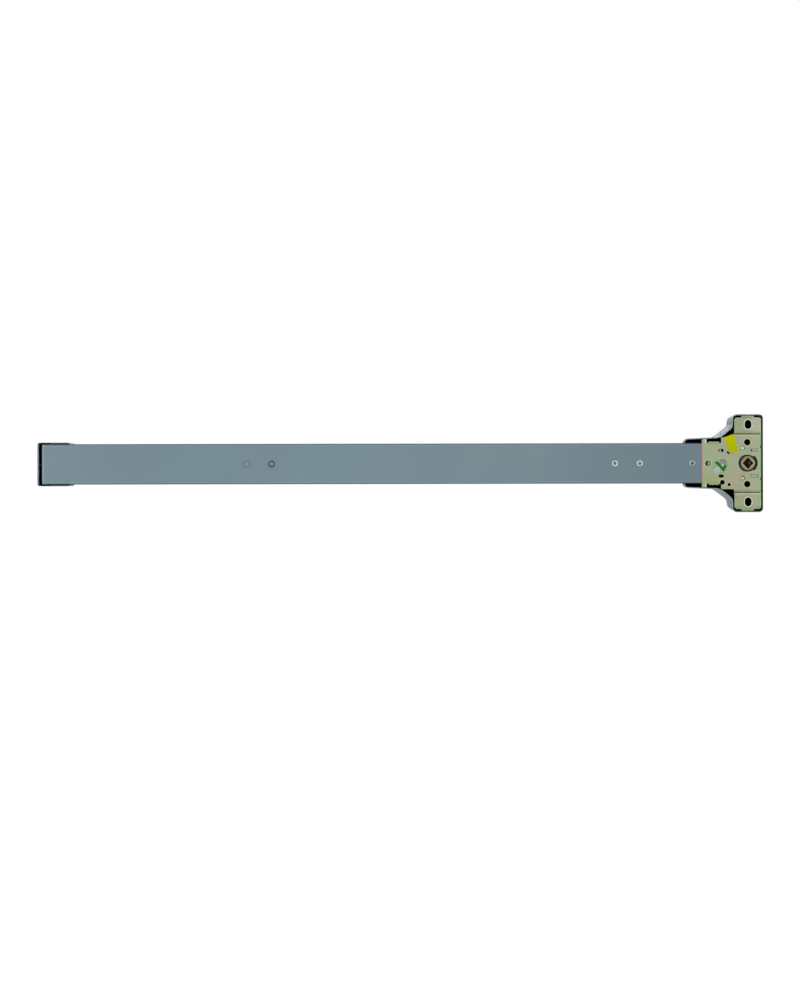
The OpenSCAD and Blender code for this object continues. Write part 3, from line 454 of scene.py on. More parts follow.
# %% Bare and plated metal
def metal(name, light, dark, roughness, stretch=(1, 1, 1), shine=0.75, marks=0.0009, rust=0.0):
    """Metal between two seen colours with marks along the axis whose stretch is small."""
    steel = Finish(name, metallic=shine)
    lines = steel.noise(marks, detail=4, rough=0.7, stretch=stretch)
    cloud = steel.noise(0.02, detail=4, rough=0.6)
    shade = steel.above(lines * 0.5 + cloud * 0.5, 0.35, 0.65)
    tone = steel.mix(shade, seen(*dark), seen(*light))
    if rust:
        stain = steel.above(steel.noise(0.006, detail=6, rough=0.7), 0.66, 0.78)
        tone = steel.mix(stain * rust, tone, seen(120, 92, 66))
    steel.set(base_color=tone, roughness=roughness + lines * 0.18)
    return steel.bump(lines, 0.000012)


bright_steel = metal("bright_steel", (214, 220, 222), (176, 186, 190), 0.2, marks=0.0004)
rolled_steel = metal("rolled_steel", (176, 180, 182), (146, 151, 154), 0.36, stretch=(0.06, 1, 1))
drawn_rod = metal("drawn_rod", (186, 189, 190), (158, 162, 165), 0.28, stretch=(0.03, 1, 1))
spring_wire = metal("spring_wire", (150, 153, 158), (110, 114, 120), 0.3, marks=0.0005, rust=0.12)
clear_zinc = metal("clear_zinc", (188, 194, 200), (158, 166, 176), 0.3, rust=0.06)
slide_steel = metal("slide_steel", (158, 160, 150), (128, 130, 122), 0.45, stretch=(0.06, 1, 1),
                    shine=0.3)
# The nuts are dark to paint in the shade that lies deep behind the plate
shaded_nuts = metal("shaded_nuts", (62, 64, 66), (40, 42, 44), 0.5, shine=0.3)
print("metals ready")

# %% [markdown]
# The follower is sintered bronze, sized in a press. Its end face is turned, which leaves tool marks
# round the axis. The distance from the axis gives those rings, and they fade into the soft grain
# of the sintered powder.


# %% Sintered bronze
RING_RATE = 9000.0
follower_bronze = Finish("sintered_bronze", metallic=0.3, specular_ior_level=0.3)
x, z = follower_bronze.along("X"), follower_bronze.along("Z")
radius = distance(x, z)
rings = (radius * RING_RATE).sine() * 0.5 + 0.5
grain = follower_bronze.noise(0.0006, detail=3, rough=0.7)
warm = follower_bronze.ramp(follower_bronze.noise(0.004, detail=4, rough=0.6), [
    (0.3, seen(124, 110, 84)), (0.5, seen(146, 130, 102)), (0.7, seen(166, 150, 120))])
follower_bronze.set(base_color=warm, roughness=0.34 + grain * 0.2)
follower_bronze.bump(rings * 0.4 + grain * 0.6, 0.00001)
# The whole face is darkened, more towards its edge, and its lower half and left rim get painted
# shade
outer = follower_bronze.above(radius, 0.0066, 0.0085)
lower = follower_bronze.below(z, -0.0060, -0.0030)
left = follower_bronze.below(x, -0.0040, 0.0020)
left_rim_shade = left * follower_bronze.above(radius, 0.0088, 0.0096)
follower_bronze.tint([(outer * 0.5, (100, 86, 66)), (rings * 0.1 + grain * 0.14, (214, 200, 170)),
                      (0.40, (66, 60, 8)), (lower * outer * 0.4, (48, 44, 26)),
                      (left_rim_shade * 0.85, (26, 25, 18))])
# Painted shadow fills the square's mouth, and a painted highlight rims it, brightest on the right
mouth = abs(x) + abs(z)
near_rim = follower_bronze.band(mouth, 0.0084, 0.0004, 0.0005) * ((x > 0.0040) * 0.5 + 0.1)
far_rim = follower_bronze.band(mouth, 0.0077, 0.0004, 0.0005) * (x < -0.0045)
inward = follower_bronze.below(mouth, 0.0069, 0.0072)
# Painted shade darkens the socket inside, and a painted glint lies on its inner end
depth = follower_bronze.along("Y")
deep = follower_bronze.above(depth, 0.0017, 0.0030)
socket_glint = follower_bronze.band(x, 0.0046, 0.0009, 0.0004) * (depth > 0.0125)
follower_bronze.tint([(near_rim, (214, 198, 146)), (far_rim * 0.4, (214, 198, 146)),
                      (inward, (20, 16, 11)), (deep * 0.95, (16, 13, 9)),
                      (socket_glint * 0.7, (196, 174, 108))])
print("bronze rings every", round(2 * math.pi / RING_RATE / MM, 2), "mm")

# %% [markdown]
# Plastics and rubber have no metal in them. The end cap's grey is moulded in and has a fine spark
# texture from the tool, and it is a little smoother in patches. The black parts are nylon with a
# slight sheen, and the buffers are matt rubber with a chalky bloom.


# %% Moulded plastic and rubber
def moulded(name, light, dark, roughness=0.5, spark=0.00045, bloom=0.0):
    """Plastic or rubber with a spark texture, and a chalky bloom on rubber."""
    plastic = Finish(name, metallic=0.0, specular_ior_level=0.15)
    pits = plastic.noise(spark, detail=2)
    cloud = plastic.noise(0.03, detail=4, rough=0.6)
    tone = plastic.mix(plastic.above(cloud, 0.35, 0.65), seen(*dark), seen(*light))
    if bloom:
        chalk = plastic.above(plastic.noise(0.004, detail=5, rough=0.7), 0.5, 0.75)
        tone = plastic.mix(chalk * bloom, tone, seen(120, 120, 118))
    plastic.set(base_color=tone, roughness=roughness + pits * 0.15 - cloud * 0.06)
    return plastic.bump(pits, 0.00002)


cap_grey = moulded("moulded_grey", (138, 140, 156), (126, 129, 144), 0.5)
nylon_black = moulded("black_nylon", (36, 37, 39), (25, 26, 28), 0.42)
bush_black = moulded("bush_black", (14, 15, 22), (8, 9, 14), 0.6)
rubber_black = moulded("black_rubber", (38, 38, 38), (27, 27, 27), 0.72, 0.0007, bloom=0.25)
insert_black = moulded("black_insert", (30, 31, 33), (21, 22, 24), 0.5)
print("plastics ready")

# %% [markdown]
# CAD solids have knife edges, but no real edge is sharp: sheared steel has a burr or a break of a
# few tenths, and moulded plastic a small radius. That narrow band catches the light and makes a
# part look real. Each solid is therefore copied, its loose triangles are merged and joined into
# flat faces, and a Bevel modifier rounds every edge that turns more than the given angle.


# %% Dress a CAD solid
def placed(name, data):
    """A new object that holds the data, in the scene."""
    thing = bpy.data.objects.new(name, data)
    bpy.context.scene.collection.objects.link(thing)
    return thing


def merged(node, name):
    """A copy of a CAD solid as one joined mesh, with its flat faces whole."""
    mesh = nodes[node].data.copy()
    mesh.materials.clear()
    bm = bmesh.new()
    bm.from_mesh(mesh)
    bmesh.ops.remove_doubles(bm, verts=bm.verts, dist=1e-6)
    bmesh.ops.dissolve_limit(bm, angle_limit=math.radians(0.4), verts=bm.verts, edges=bm.edges)
    for face in bm.faces:
        face.smooth = True
    bm.to_mesh(mesh)
    bm.free()
    if mesh.attributes.get("custom_normal"):
        mesh.attributes.remove(mesh.attributes["custom_normal"])
    return placed(name, mesh)


def edge_break(piece, width, segments=2, angle=32):
    """Rounds the piece's sharp edges by so many millimetres."""
    bevel = piece.modifiers.new("edge break", "BEVEL")
    bevel.width, bevel.segments, bevel.profile = width * MM, segments, 0.5
    bevel.limit_method, bevel.angle_limit = "ANGLE", math.radians(angle)
    bevel.use_clamp_overlap, bevel.harden_normals, bevel.miter_outer = True, True, "MITER_ARC"


def dress(node, name, finish, width, segments=2):
    """Replaces a CAD solid by a copy with broken edges and a finish, on the same body."""
    piece = merged(node, name)
    piece.data.materials.append(finish.material)
    edge_break(piece, width, segments)
    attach(piece, body_of[node])
    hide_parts(node)
    return piece


print("dressing tools ready")

# %% [markdown]
# The channel comes first, because it is the body that all else is fixed to. Its bends are in the
# CAD already, so only the sheared rim and the ends need a small break.

# %% The channel
channel = dress("channel", "channel_body", grey_coat, 0.3, 3)
low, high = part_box("channel")
print("channel:", len(channel.data.polygons), "faces,", round((high.x - low.x) / MM, 1), "mm long")

# %% [markdown]
# The moving mechanism behind the bar is ordinary pressed and turned steel. It shows only through
# the holes, but it still gets its own finishes: zinc for the brackets and hangers, bright steel for
# the pins, a drawn rod, and nylon and rubber for the plugs and buffers.

# %% The rockers, their brackets, the rod and what else lies inside
for side in ("left", "right"):
    dress("rocker_bracket_" + side, "bracket_" + side, clear_zinc, 0.25)
    dress("rocker_" + side, "bell_crank_" + side, rolled_steel, 0.2)
    dress("pivot_pin_" + side, "pivot_" + side, bright_steel, 0.25)
    dress("pad_pin_" + side, "pad_pivot_" + side, bright_steel, 0.25)
    dress("rod_pin_" + side, "rod_pivot_" + side, bright_steel, 0.2)
    dress("hanger_" + side, "bar_hanger_" + side, clear_zinc, 0.25)
    dress("touch_bar_plug_" + side, "bar_plug_" + side, nylon_black, 0.3)
for node, name, finish, slot, width in (
        ("pull_rod", "long_rod", drawn_rod, "dull_steel", 0.2),
        ("rod_nuts", "hex_nuts", shaded_nuts, "bright_steel", 0.15),
        ("spring_washer", "washer", clear_zinc, "bright_steel", 0.1),
        ("spring_bracket", "spring_seat", clear_zinc, "dull_steel", 0.2),
        ("slide_plate", "head_slide", slide_steel, "dull_steel", 0.2),
        ("mechanism_housing", "slide_housing", plain_zinc, "yellow_zinc_steel", 0.25),
        ("rear_bush", "keyed_bush", bush_black, "black_plastic", 0.12),
        ("rubber_buffers", "buffers", rubber_black, "black_rubber", 0.6),
        ("end_insert", "insert_block", insert_black, "black_plastic", 0.2),
        ("crank_pin", "drive_pin", bright_steel, "bright_steel", 0.2)):
    dress(node, name, finish, width)

# %% [markdown]
# Behind the upper open slot the housing's leg has a finger that reaches down to the plate. In the
# photograph the finger stands a little further right in the slot than the CAD's, and it is
# narrower. So its left side and its right side are moved, each by its own amount.

# %% The finger behind the upper slot
FINGER_SHIFTS = {-36.2: 1.5, -33.4: 0.8}
FINGER_Z = (14.3, 17.4)
moved = 0
for v in bpy.data.objects["slide_housing"].data.vertices:
    shift = FINGER_SHIFTS.get(round(v.co.x / MM, 1))
    if shift and FINGER_Z[0] < v.co.z / MM < FINGER_Z[1]:
        v.co.x += shift * MM
        moved += 1
print("finger:", moved, "corners moved")

# %% [markdown]
# With the bar fully pushed, the back edge of its right plug would press into the return spring. A
# plug that works has to be relieved there, so a notch is cut: the flange is divided where the
# notch's slanted sides begin and end, and the edge between them is moved in.

# %% The notch over the spring
NOTCH_HALF, NOTCH_SLANT, NOTCH_DEEP = 6.6, 2.0, 1.9
NEAR = 0.1
flange = bpy.data.objects["bar_plug_right"].data
back_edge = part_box("touch_bar_plug_right")[0].y
bm = bmesh.new()
bm.from_mesh(flange)
for z in (NOTCH_HALF, NOTCH_HALF + NOTCH_SLANT):
    for side in (-1, 1):
        bmesh.ops.bisect_plane(bm, geom=[*bm.verts, *bm.edges, *bm.faces], dist=1e-7,
                               plane_co=(0, 0, side * z * MM), plane_no=(0, 0, 1))
moved = [v for v in bm.verts
         if abs(v.co.z) < (NOTCH_HALF + NEAR) * MM and v.co.y < back_edge + NEAR * MM]
bmesh.ops.translate(bm, vec=(0, NOTCH_DEEP * MM, 0), verts=moved)
bm.to_mesh(flange)
bm.free()
print("notch:", len(moved), "corners moved in by", NOTCH_DEEP, "mm")

# %% [markdown]
# A spun piece is drawn as half of its section and turned round its axis. The rivets, the guide pins
# and the clear dot are made so: the section is a row of points, each a radius and a depth behind
# the door's plane in millimetres, and bmesh's spin carries it round a line along Y.


# %% Spin a section round a line along Y
def spun(bm, section, x, z, steps=48, material=0, bright=None):
    """Turns a section of (radius, depth) pairs round the line at x, z. Bright gives the span of
    radii, on the face towards the door, that takes the next material."""
    verts = [bm.verts.new(((x + r) * MM, y * MM, z * MM)) for r, y in section]
    edges = [bm.edges.new(pair) for pair in zip(verts, verts[1:])]
    before = set(bm.faces)
    bmesh.ops.spin(bm, geom=verts + edges, cent=(x * MM, 0, z * MM), axis=(0, 1, 0),
                   dvec=(0, 0, 0), angle=2 * math.pi, steps=steps, use_merge=True,
                   use_normal_flip=False, use_duplicate=False)
    made = [f for f in bm.faces if f not in before]
    for face in made:
        face.smooth = True
        face.material_index = material
        c = face.calc_center_median() / MM
        r = math.hypot(c.x - x, c.z - z)
        if bright and bright[0] < r < bright[1] and c.y < section[0][1]:
            face.material_index = material + 1
    return made


def piece_from(bm, name, body, finishes, replaced=(), sharp=38):
    """Finishes a bmesh as a piece of the object."""
    bmesh.ops.remove_doubles(bm, verts=bm.verts, dist=1e-7)
    bmesh.ops.dissolve_degenerate(bm, edges=bm.edges, dist=1e-7)
    bmesh.ops.recalc_face_normals(bm, faces=bm.faces)
    mesh = bpy.data.meshes.new(name)
    bm.to_mesh(mesh)
    bm.free()
    mesh.shade_smooth()
    mesh.set_sharp_from_angle(angle=math.radians(sharp))
    piece = placed(name, mesh)
    for finish in finishes:
        mesh.materials.append(finish.material)
    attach(piece, body)
    if replaced:
        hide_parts(*replaced)
    return piece


print("spinning ready")

# %% [markdown]
# The return spring is wound: a circle as wide as the wire is spun round the rod's line, and moves
# along it by a little at each step. The first and last coils lie closed. The spring shortens as the
# bar is pushed, but here it is wound once, at the CAD's length.

# %% The return spring
# Steps are those of a turn, and sides are those of the wire
TURNS, STEPS, SIDES = 9, 40, 12
WIRE_RADIUS = 0.5 * MM
low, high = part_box("return_spring")
line_y, line_z = (low.y + high.y) / 2, (low.z + high.z) / 2
coil = (high.z - low.z) / 2 - WIRE_RADIUS
bm = bmesh.new()
ring = []
for i in range(SIDES):
    angle = 2 * math.pi * i / SIDES
    ring.append(bm.verts.new((low.x + WIRE_RADIUS + WIRE_RADIUS * math.cos(angle), line_y,
                              line_z + coil + WIRE_RADIUS * math.sin(angle))))
geom = ring + [bm.edges.new(pair) for pair in zip(ring, ring[1:] + ring[:1])]
bmesh.ops.holes_fill(bm, edges=bm.edges)
closed_run = 2.1 * WIRE_RADIUS
open_run = high.x - low.x - 2 * WIRE_RADIUS - 2 * closed_run
for turns, run in ((1, closed_run), (TURNS - 2, open_run), (1, closed_run)):
    steps = turns * STEPS
    made = bmesh.ops.spin(bm, geom=geom, cent=(0, line_y, line_z), axis=(1, 0, 0),
                          dvec=(run / steps, 0, 0), angle=2 * math.pi * turns, steps=steps,
                          use_merge=False, use_normal_flip=False, use_duplicate=False)
    geom = made["geom_last"]
bmesh.ops.holes_fill(bm, edges=[e for e in bm.edges if e.is_boundary])
spring = piece_from(bm, "wound_spring", "frame", [spring_wire], ["return_spring"],
                    sharp=80)
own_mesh(spring)
print("spring:", len(spring.data.polygons), "faces, coil radius", round(coil / MM, 2), "mm")

# %% [markdown]
# Five rivets hold the brackets. Their flat heads were set with a cone-nosed punch after painting,
# so the punch left a ring round a dimple that kept some paint. Light falls on each head at its own
# angle, and the rings and dimples have it painted in: some rings bright, others dull or dark. The
# section runs from the dimple over the ring, down the countersunk cone and the shank, to the upset
# end inside.

# %% The channel's rivets
def rivet_look(name, ring, dimple):
    """The paint left in the dimple and the finish of the ring round it, with the light on each
    painted in.
    """
    paint = powder_coat("rivet_dimple_" + name, dimple, [0.84 * v for v in dimple], peel=0.5)
    ring_finish = metal("rivet_ring_" + name, ring, [0.72 * v for v in ring], 0.34, marks=0.0012,
                 shine=0.25)
    return [paint, ring_finish]


rivet_looks = {
    "bare": rivet_look("bare", (198, 220, 222), (92, 134, 136)),
    "dull": rivet_look("dull", (162, 186, 188), (90, 120, 118)),
    "dark": rivet_look("dark", (52, 70, 84), (128, 172, 176)),
    "painted": rivet_look("painted", (116, 136, 142), (140, 178, 174)),
}
# For each place: the look, and the thickness that the rivet holds together
rivet_kinds = (("painted", 3.0), ("dark", 3.0), ("bare", 3.0), ("bare", 3.0), ("dull", 5.0))
bm = bmesh.new()
for place, (look, grip) in zip(RIVET_PLACES, rivet_kinds):
    head = [(0.0, 0.85), (0.9, 0.78), (1.6, 0.5), (2.05, 0.18), (2.45, 0.05), (3.5, 0.03),
            (3.95, 0.08), (4.12, 0.2), (2.39, 1.48), (2.39, grip), (3.7, grip + 0.03),
            (3.8, grip + 0.3), (3.5, grip + 1.0), (2.9, grip + 1.17), (0.0, grip + 1.19)]
    spun(bm, head, place, 0.0, material=2 * list(rivet_looks).index(look), bright=(2.0, 4.1))
piece_from(bm, "rivets", "frame",
           [finish for pair in rivet_looks.values() for finish in pair], ["channel_rivets"])
print("rivets:", len(rivet_kinds), "in", len(rivet_looks), "looks")

# %% [markdown]
# Two guide pins for the slide end flush in the plate. The upper one was ground bright and is
# slightly domed. The lower one was staked with a centre punch and then plated with the plate. The
# rounded rim of both lies in shadow, and gets a darker finish.

# %% The guide pins
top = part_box("guide_pins")[1].y / MM
RIM_RADIUS, RIM_DEPTH = 1.85, 1.9
bm = bmesh.new()
domed = [(0.0, 1.42), (1.2, 1.45), (1.9, 1.52), (2.1, 1.6), (2.35, 1.75), (2.45, 2.1), (2.45, top),
         (0.0, top)]
punched = [(0.0, 2.2), (0.6, 1.9), (1.1, 1.6), (1.7, 1.5), (2.1, 1.53), (2.4, 1.75), (2.45, 2.1),
           (2.45, top), (0.0, top)]
pin_face = metal("ground_pin_face", (206, 222, 216), (168, 184, 178), 0.4, shine=0.25)
staked_face = metal("staked_pin_face", (196, 198, 168), (160, 164, 134), 0.4, shine=0.25)
shadow_ring = metal("shadow_ring", (84, 90, 70), (58, 62, 48), 0.5, shine=0.2)
for section, z, material in ((domed, PIN_Z, 0), (punched, -PIN_Z, 2)):
    for face in spun(bm, section, PIN_X, z, material=material):
        c = face.calc_center_median() / MM
        if math.hypot(c.x - PIN_X, c.z - z) > RIM_RADIUS and c.y < RIM_DEPTH:
            face.material_index = 1
piece_from(bm, "guide_pin_ends", "frame", [pin_face, shadow_ring, staked_face],
           ["guide_pins"])
print("guide pins reach", round(top, 2), "mm in")

# %% [markdown]
# The end cap is moulded and slides over the channel's end. Seen from behind, its rim and its outer
# walls are grey, and the inside is in deep shade, painted black. Which faces lie inside is found by
# looking out along each face's normal: if the cap's own wall is in the way, or the face looks back
# out through the open rear, it is an inner face. The same test serves for the head cover.


# %% Inner and outer faces of a shell
RIM_BAND = 0.3 * MM


def blacken_inside(piece):
    """Gives the second material to the faces that look into the shell's own hollow."""
    bm = bmesh.new()
    bm.from_mesh(piece.data)
    tree = BVHTree.FromBMesh(bm)
    count = 0
    for face in bm.faces:
        centre, normal = face.calc_center_median(), face.normal
        met = tree.ray_cast(centre + normal * 1e-5, normal, 0.2)[0]
        if met is not None or (normal.y < -0.02 and centre.y > RIM_BAND):
            face.material_index = 1
            count += 1
    bm.to_mesh(piece.data)
    bm.free()
    return count


def shell(node, name, finish, width, angle, edge):
    """Replaces a CAD shell by a copy with painted shade inside and a finish of its own on its
    edges.
    """
    piece = merged(node, name)
    for coat in (finish, hollow_shade_black, edge):
        piece.data.materials.append(coat.material)
    inside = blacken_inside(piece)
    edge_break(piece, width, 3, angle)
    piece.modifiers["edge break"].material = 2
    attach(piece, body_of[node])
    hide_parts(node)
    print(name, "has", len(piece.data.polygons), "faces,", inside, "inside")
    return piece


# %% The end cap, its screw and the filler beside the bar
cap_edge = moulded("moulded_grey_edge", (148, 149, 164), (138, 140, 154), 0.45)
for grey in (cap_grey, cap_edge):
    # Painted shade: the side walls' rims are dark, most of all by the closed end, and the walls'
    # free ends are darker than the rest
    along = grey.along("X")
    rim = grey.below(grey.along("Y"), 0.0004, 0.0010)
    rim = rim * grey.above(along, -0.8732, -0.8726)
    darkest = grey.below(along, -0.8625, -0.8605)
    free = grey.above(along, -0.8430, -0.8395)
    grey.tint([(rim * 0.92, (46, 62, 72)), (rim * darkest * 0.9, (12, 16, 20)),
               (free, (74, 84, 88))])
shell("end_cap", "cap_at_far_end", cap_grey, 0.2, 32, cap_edge)
dress("filler_cover", "channel_filler", grey_coat, 0.3, 3)
dress("end_cap_screw", "cap_screw", clear_zinc, 0.1)

# %% [markdown]
# The head cover is pressed from sheet and sprayed silver outside. Its big bends come from the CAD
# as narrow facets, so only edges that turn sharply are broken and the rest is shaded smooth.

# %% The head cover and its screws
cover_edge = silver_lacquer("silver_lacquer_edge", (150, 166, 164), (134, 150, 150))
for silver in (cover_lacquer, cover_edge):
    # Painted shade darkens the rim at the lock end and along the bottom
    rim = silver.below(silver.along("Y"), 0.0006, 0.0014)
    lock_end = silver.above(silver.along("X"), 0.0150, 0.0160)
    foot = silver.below(silver.along("Z"), -0.0595, -0.0585)
    # Painted shade on the flanks, most of all on the flares, and darker beside the front
    flank = silver.below(abs(silver.facing()), 0.3, 0.7)
    upper = silver.above(silver.along("Z"), 0.018, 0.032)
    upper = upper * silver.below(silver.along("X"), -0.018, -0.008)
    near_front = silver.above(silver.along("Y"), 0.048, 0.056)
    lower = silver.below(silver.along("Z"), -0.032, -0.018)
    silver.tint([(upper * flank * 0.55, (98, 136, 138)), (lower * flank * 0.3, (108, 112, 100)),
                 (near_front * flank * 0.5, (84, 94, 92)), (rim * foot * 0.6, (44, 54, 46)),
                 (rim * lock_end * 0.96, (14, 16, 24))])
head_cover = shell("head_cover", "silver_cover", cover_lacquer, 0.25, 50,
                   cover_edge)
dress("cover_screws", "cover_screw_heads", clear_zinc, 0.1)

# %% [markdown]
# The photograph looks along the cover's walls, and they aren't quite square to the door. The
# neck's end leans back, the two flares swell with depth, and the two corners above and below them
# get rounder. So the copy's corners are moved by a few millimetres, the more the deeper they lie.
# Two cuts across the cover first give the long straight walls a corner where the rounding ends.


# %% Leaning walls of the cover
FULL_DEPTH = 50
CUTS = (-4, -9)
NECK_X, NECK_LATER, NECK_LEAN = -70, 1.8, 4.65
# A flare swells along its own normal
FLARE_ALONG, FLARE_OUT = -0.63, 0.78
# How far a flare swells, and how far a corner is drawn along and in, at full depth
UPPER = {"swell": 1.65, "along": 0.8, "in": 2.0}
LOWER = {"swell": 1.25, "along": 1.2, "in": 3.0}


def share(value, low, high):
    """0 at low and 1 at high, in proportion between them."""
    return min(1.0, max(0.0, (value - low) / (high - low)))


bm = bmesh.new()
bm.from_mesh(head_cover.data)
for x in CUTS:
    bmesh.ops.bisect_plane(bm, geom=[*bm.verts, *bm.edges, *bm.faces], dist=1e-7,
                           plane_co=(x * MM, 0, 0), plane_no=(1, 0, 0))
farthest = 0.0
for v in bm.verts:
    x, y, z = v.co / MM
    if x > 0:
        continue
    high, depth, half = abs(z), y / FULL_DEPTH, UPPER if z > 0 else LOWER
    swell = share(x, -40, -33) * share(high, 24, 31) * share(high, 47.5, 41.5)
    swell *= half["swell"] * depth
    drawn_along = share(high, 50, 55) * share(x, -10, -16) * half["along"] * depth
    inward = share(high, 53, 58.5) * share(x, -4, -16) * half["in"] * depth
    lean = NECK_LATER + NECK_LEAN * depth if x < NECK_X else 0.0
    move = Vector((lean + FLARE_ALONG * swell + drawn_along, 0,
                   (FLARE_OUT * swell - inward) * math.copysign(1, z)))
    v.co += move * MM
    farthest = max(farthest, move.length)
bm.to_mesh(head_cover.data)
bm.free()
print("cover: corners moved by up to", round(farthest, 1), "mm")

# %% [markdown]
# The plate's sheared edges get a pale green painted highlight. The Bevel modifier can give the
# strip that it cuts a material of its own, which is just what is wanted.

# %% The chassis plate
edge_highlight_zinc = metal("green_edge_zinc", (204, 214, 180), (178, 194, 152), 0.35, shine=0.25)
plate = dress("chassis_plate", "zinc_plate", plate_zinc, 0.32)
# Painted shade darkens the edge of the follower's opening, and the face beside it on the left
for zinc, strength in ((edge_highlight_zinc, 0.75), (plate_zinc, 0.0)):
    x, z = zinc.along("X"), zinc.along("Z")
    painted_shade = zinc.below(distance(x, z), 0.0114, 0.0120)
    left = zinc.below(x, -0.0080, -0.0020)
    zinc.tint([(painted_shade * (left * 0.6).at_least(strength), (46, 54, 44))])
plate.data.materials.append(edge_highlight_zinc.material)
plate.modifiers["edge break"].material = 1
print("plate faces:", len(plate.data.polygons))

# %% [markdown]
# The follower sits in the plate's opening. Its copy keeps the CAD's square socket, with the same
# fine break on its mouth as on the hub's other edges.

# %% The follower
follower = dress("follower", "bronze_hub", follower_bronze, 0.15, 3)
print("follower faces:", len(follower.data.polygons))

# %% [markdown]
# The bar that a person pushes is an aluminium profile, lacquered silver. Hands polish such bars
# along the middle over the years. This one is new, so it only has the lacquer's own fine flake.

# %% The touch bar
dress("touch_bar", "push_profile", bar_lacquer, 0.35, 3)
low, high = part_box("touch_bar")
print("the bar is", round((high.x - low.x) / MM, 1), "mm long")

# %% [markdown]
# A yellow label with nothing on it is stuck at a slant over the plate's edge, on a strip of
# clear tape that is a little wider. Both are flat outlines with rounded corners and a little
# thickness. The label is nearly matt paper, and the tape is a lilac-grey film.

# %% Label and tape finishes
label_yellow = Finish("label_yellow", metallic=0.0, specular_ior_level=0.03)
fibre = label_yellow.noise(0.0012, detail=4, rough=0.7)
fade = label_yellow.noise(0.012, detail=2)
fade = label_yellow.above(fade, 0.35, 0.65)
label_yellow.set(base_color=label_yellow.mix(fade, seen(184, 188, 0), seen(198, 202, 2)),
                 roughness=0.46 + fibre * 0.16)
label_yellow.bump(fibre, 0.00002)

tape_film = Finish("tape_film", metallic=0.0, specular_ior_level=0.5)
streak = tape_film.noise(0.0016, detail=4, stretch=(1, 1, 0.2))
tape_film.set(base_color=tape_film.mix(streak, seen(194, 190, 196), seen(180, 180, 184)),
              roughness=0.35 + streak * 0.15, alpha=0.5 + streak * 0.3)
tape_film.bump(streak, 0.00002)
print("label finishes ready")


# %% Thin flat pieces on the plate
def flat_piece(name, corners, y0, y1, finish, round_by=0.6):
    """A thin sheet between depths y0 and y1, in millimetres, with its corners (x, z) in a ring."""
    bm = bmesh.new()
    bm.faces.new([bm.verts.new((x * MM, y0 * MM, z * MM)) for x, z in corners])
    bmesh.ops.bevel(bm, geom=list(bm.verts), offset=round_by * MM, segments=4, profile=0.5,
                    affect="VERTICES", material=-1, offset_type="OFFSET")
    made = bmesh.ops.extrude_face_region(bm, geom=list(bm.faces))
    bmesh.ops.translate(bm, vec=(0, (y1 - y0) * MM, 0),
                        verts=[v for v in made["geom"] if isinstance(v, bmesh.types.BMVert)])
    return piece_from(bm, name, "frame", [finish])


# %% The label and its tape
PLATE_FACE, LABEL_FACE = 1.5, 1.3
tape = [(-25.9, 15.1), (-19.4, 11.3), (-8.7, 14.6), (-15.9, 35.4), (-30.6, 30.6)]
label = [(-22.7, 12.3), (-11.0, 14.7), (-17.5, 36.2), (-30.2, 31.7)]
flat_piece("label_tape", tape, 1.47, 1.42, tape_film)
flat_piece("bare_label", label, 1.40, LABEL_FACE, label_yellow)
print("the label's face lies", round(PLATE_FACE - LABEL_FACE, 2), "mm above the plate")

# %% [markdown]
# An inspector's clear dot carries a green tick. The dot is a spun disc of film with painted
# highlights where its gloss catches the light. The tick is one wide stroke, cut as an outline and
# raised a little.

# %% The clear dot and the green tick
dot_film = Finish("dot_film", metallic=0.0, specular_ior_level=0.2)
wrinkle = dot_film.noise(0.004, detail=3, rough=0.6)


def highlight_patch(x, z, radius):
    """A patch of painted highlight on the film, with an uneven border."""
    dx, dz = dot_film.along("X") - x * MM, dot_film.along("Z") - z * MM
    reach = distance(dx, dz) + wrinkle * 0.001 - 0.0005
    return dot_film.below(reach, radius * MM * 0.85, radius * MM * 1.1)


cool, pale = highlight_patch(-37.9, -8.2, 4.2), highlight_patch(-30.8, 0.6, 4.4)
lilac = highlight_patch(-31.2, -2.9, 1.7)
shore = pale * (1 - highlight_patch(-30.8, 0.0, 3.6))
tone = dot_film.mix(cool, seen(172, 184, 168), seen(206, 218, 218))
tone = dot_film.mix(shore, tone, seen(118, 134, 122))
tone = dot_film.mix(lilac, tone, seen(214, 204, 220))
dot_film.set(base_color=tone, roughness=0.3 + wrinkle * 0.2,
             alpha=0.06 + cool * 0.55 + pale * 0.4 + lilac * 0.5)
dot_film.bump(wrinkle, 0.00001)

green_ink = Finish("green_ink", metallic=0.0, specular_ior_level=0.1)
blot = green_ink.noise(0.0016, detail=4, rough=0.7)
green_ink.set(base_color=green_ink.mix(blot, seen(4, 104, 8), seen(18, 132, 22)),
              roughness=0.4 + blot * 0.2)
green_ink.bump(blot, 0.00002)

disc = [(0.0, 1.42), (9.55, 1.42), (9.75, 1.45), (9.75, 1.48), (0.0, 1.48)]
bm = bmesh.new()
spun(bm, disc, -34.2, -3.6, steps=64)
piece_from(bm, "clear_dot", "frame", [dot_film])


def stroke(points, width):
    """The outline of a wide stroke along points, with mitred bends and square ends."""
    half, left, right = width / 2, [], []
    for i, p in enumerate(points):
        p = Vector(p)
        legs = []
        if i > 0:
            legs.append((p - Vector(points[i - 1])).normalized())
        if i < len(points) - 1:
            legs.append((Vector(points[i + 1]) - p).normalized())
        sides = [Vector((-d.y, d.x)) for d in legs]
        out = sum(sides, Vector((0, 0))).normalized()
        out *= half / max(0.3, out.dot(sides[0]))
        left.append(p + out)
        right.append(p - out)
    return [(v.x, v.y) for v in left + right[::-1]]


tick = stroke([(-39.4, 1.9), (-30.2, -8.1), (-27.6, -2.2)], 3.3)
flat_piece("green_tick", tick, 1.40, 1.34, green_ink, round_by=0.35)
print("tick outline has", len(tick), "corners")

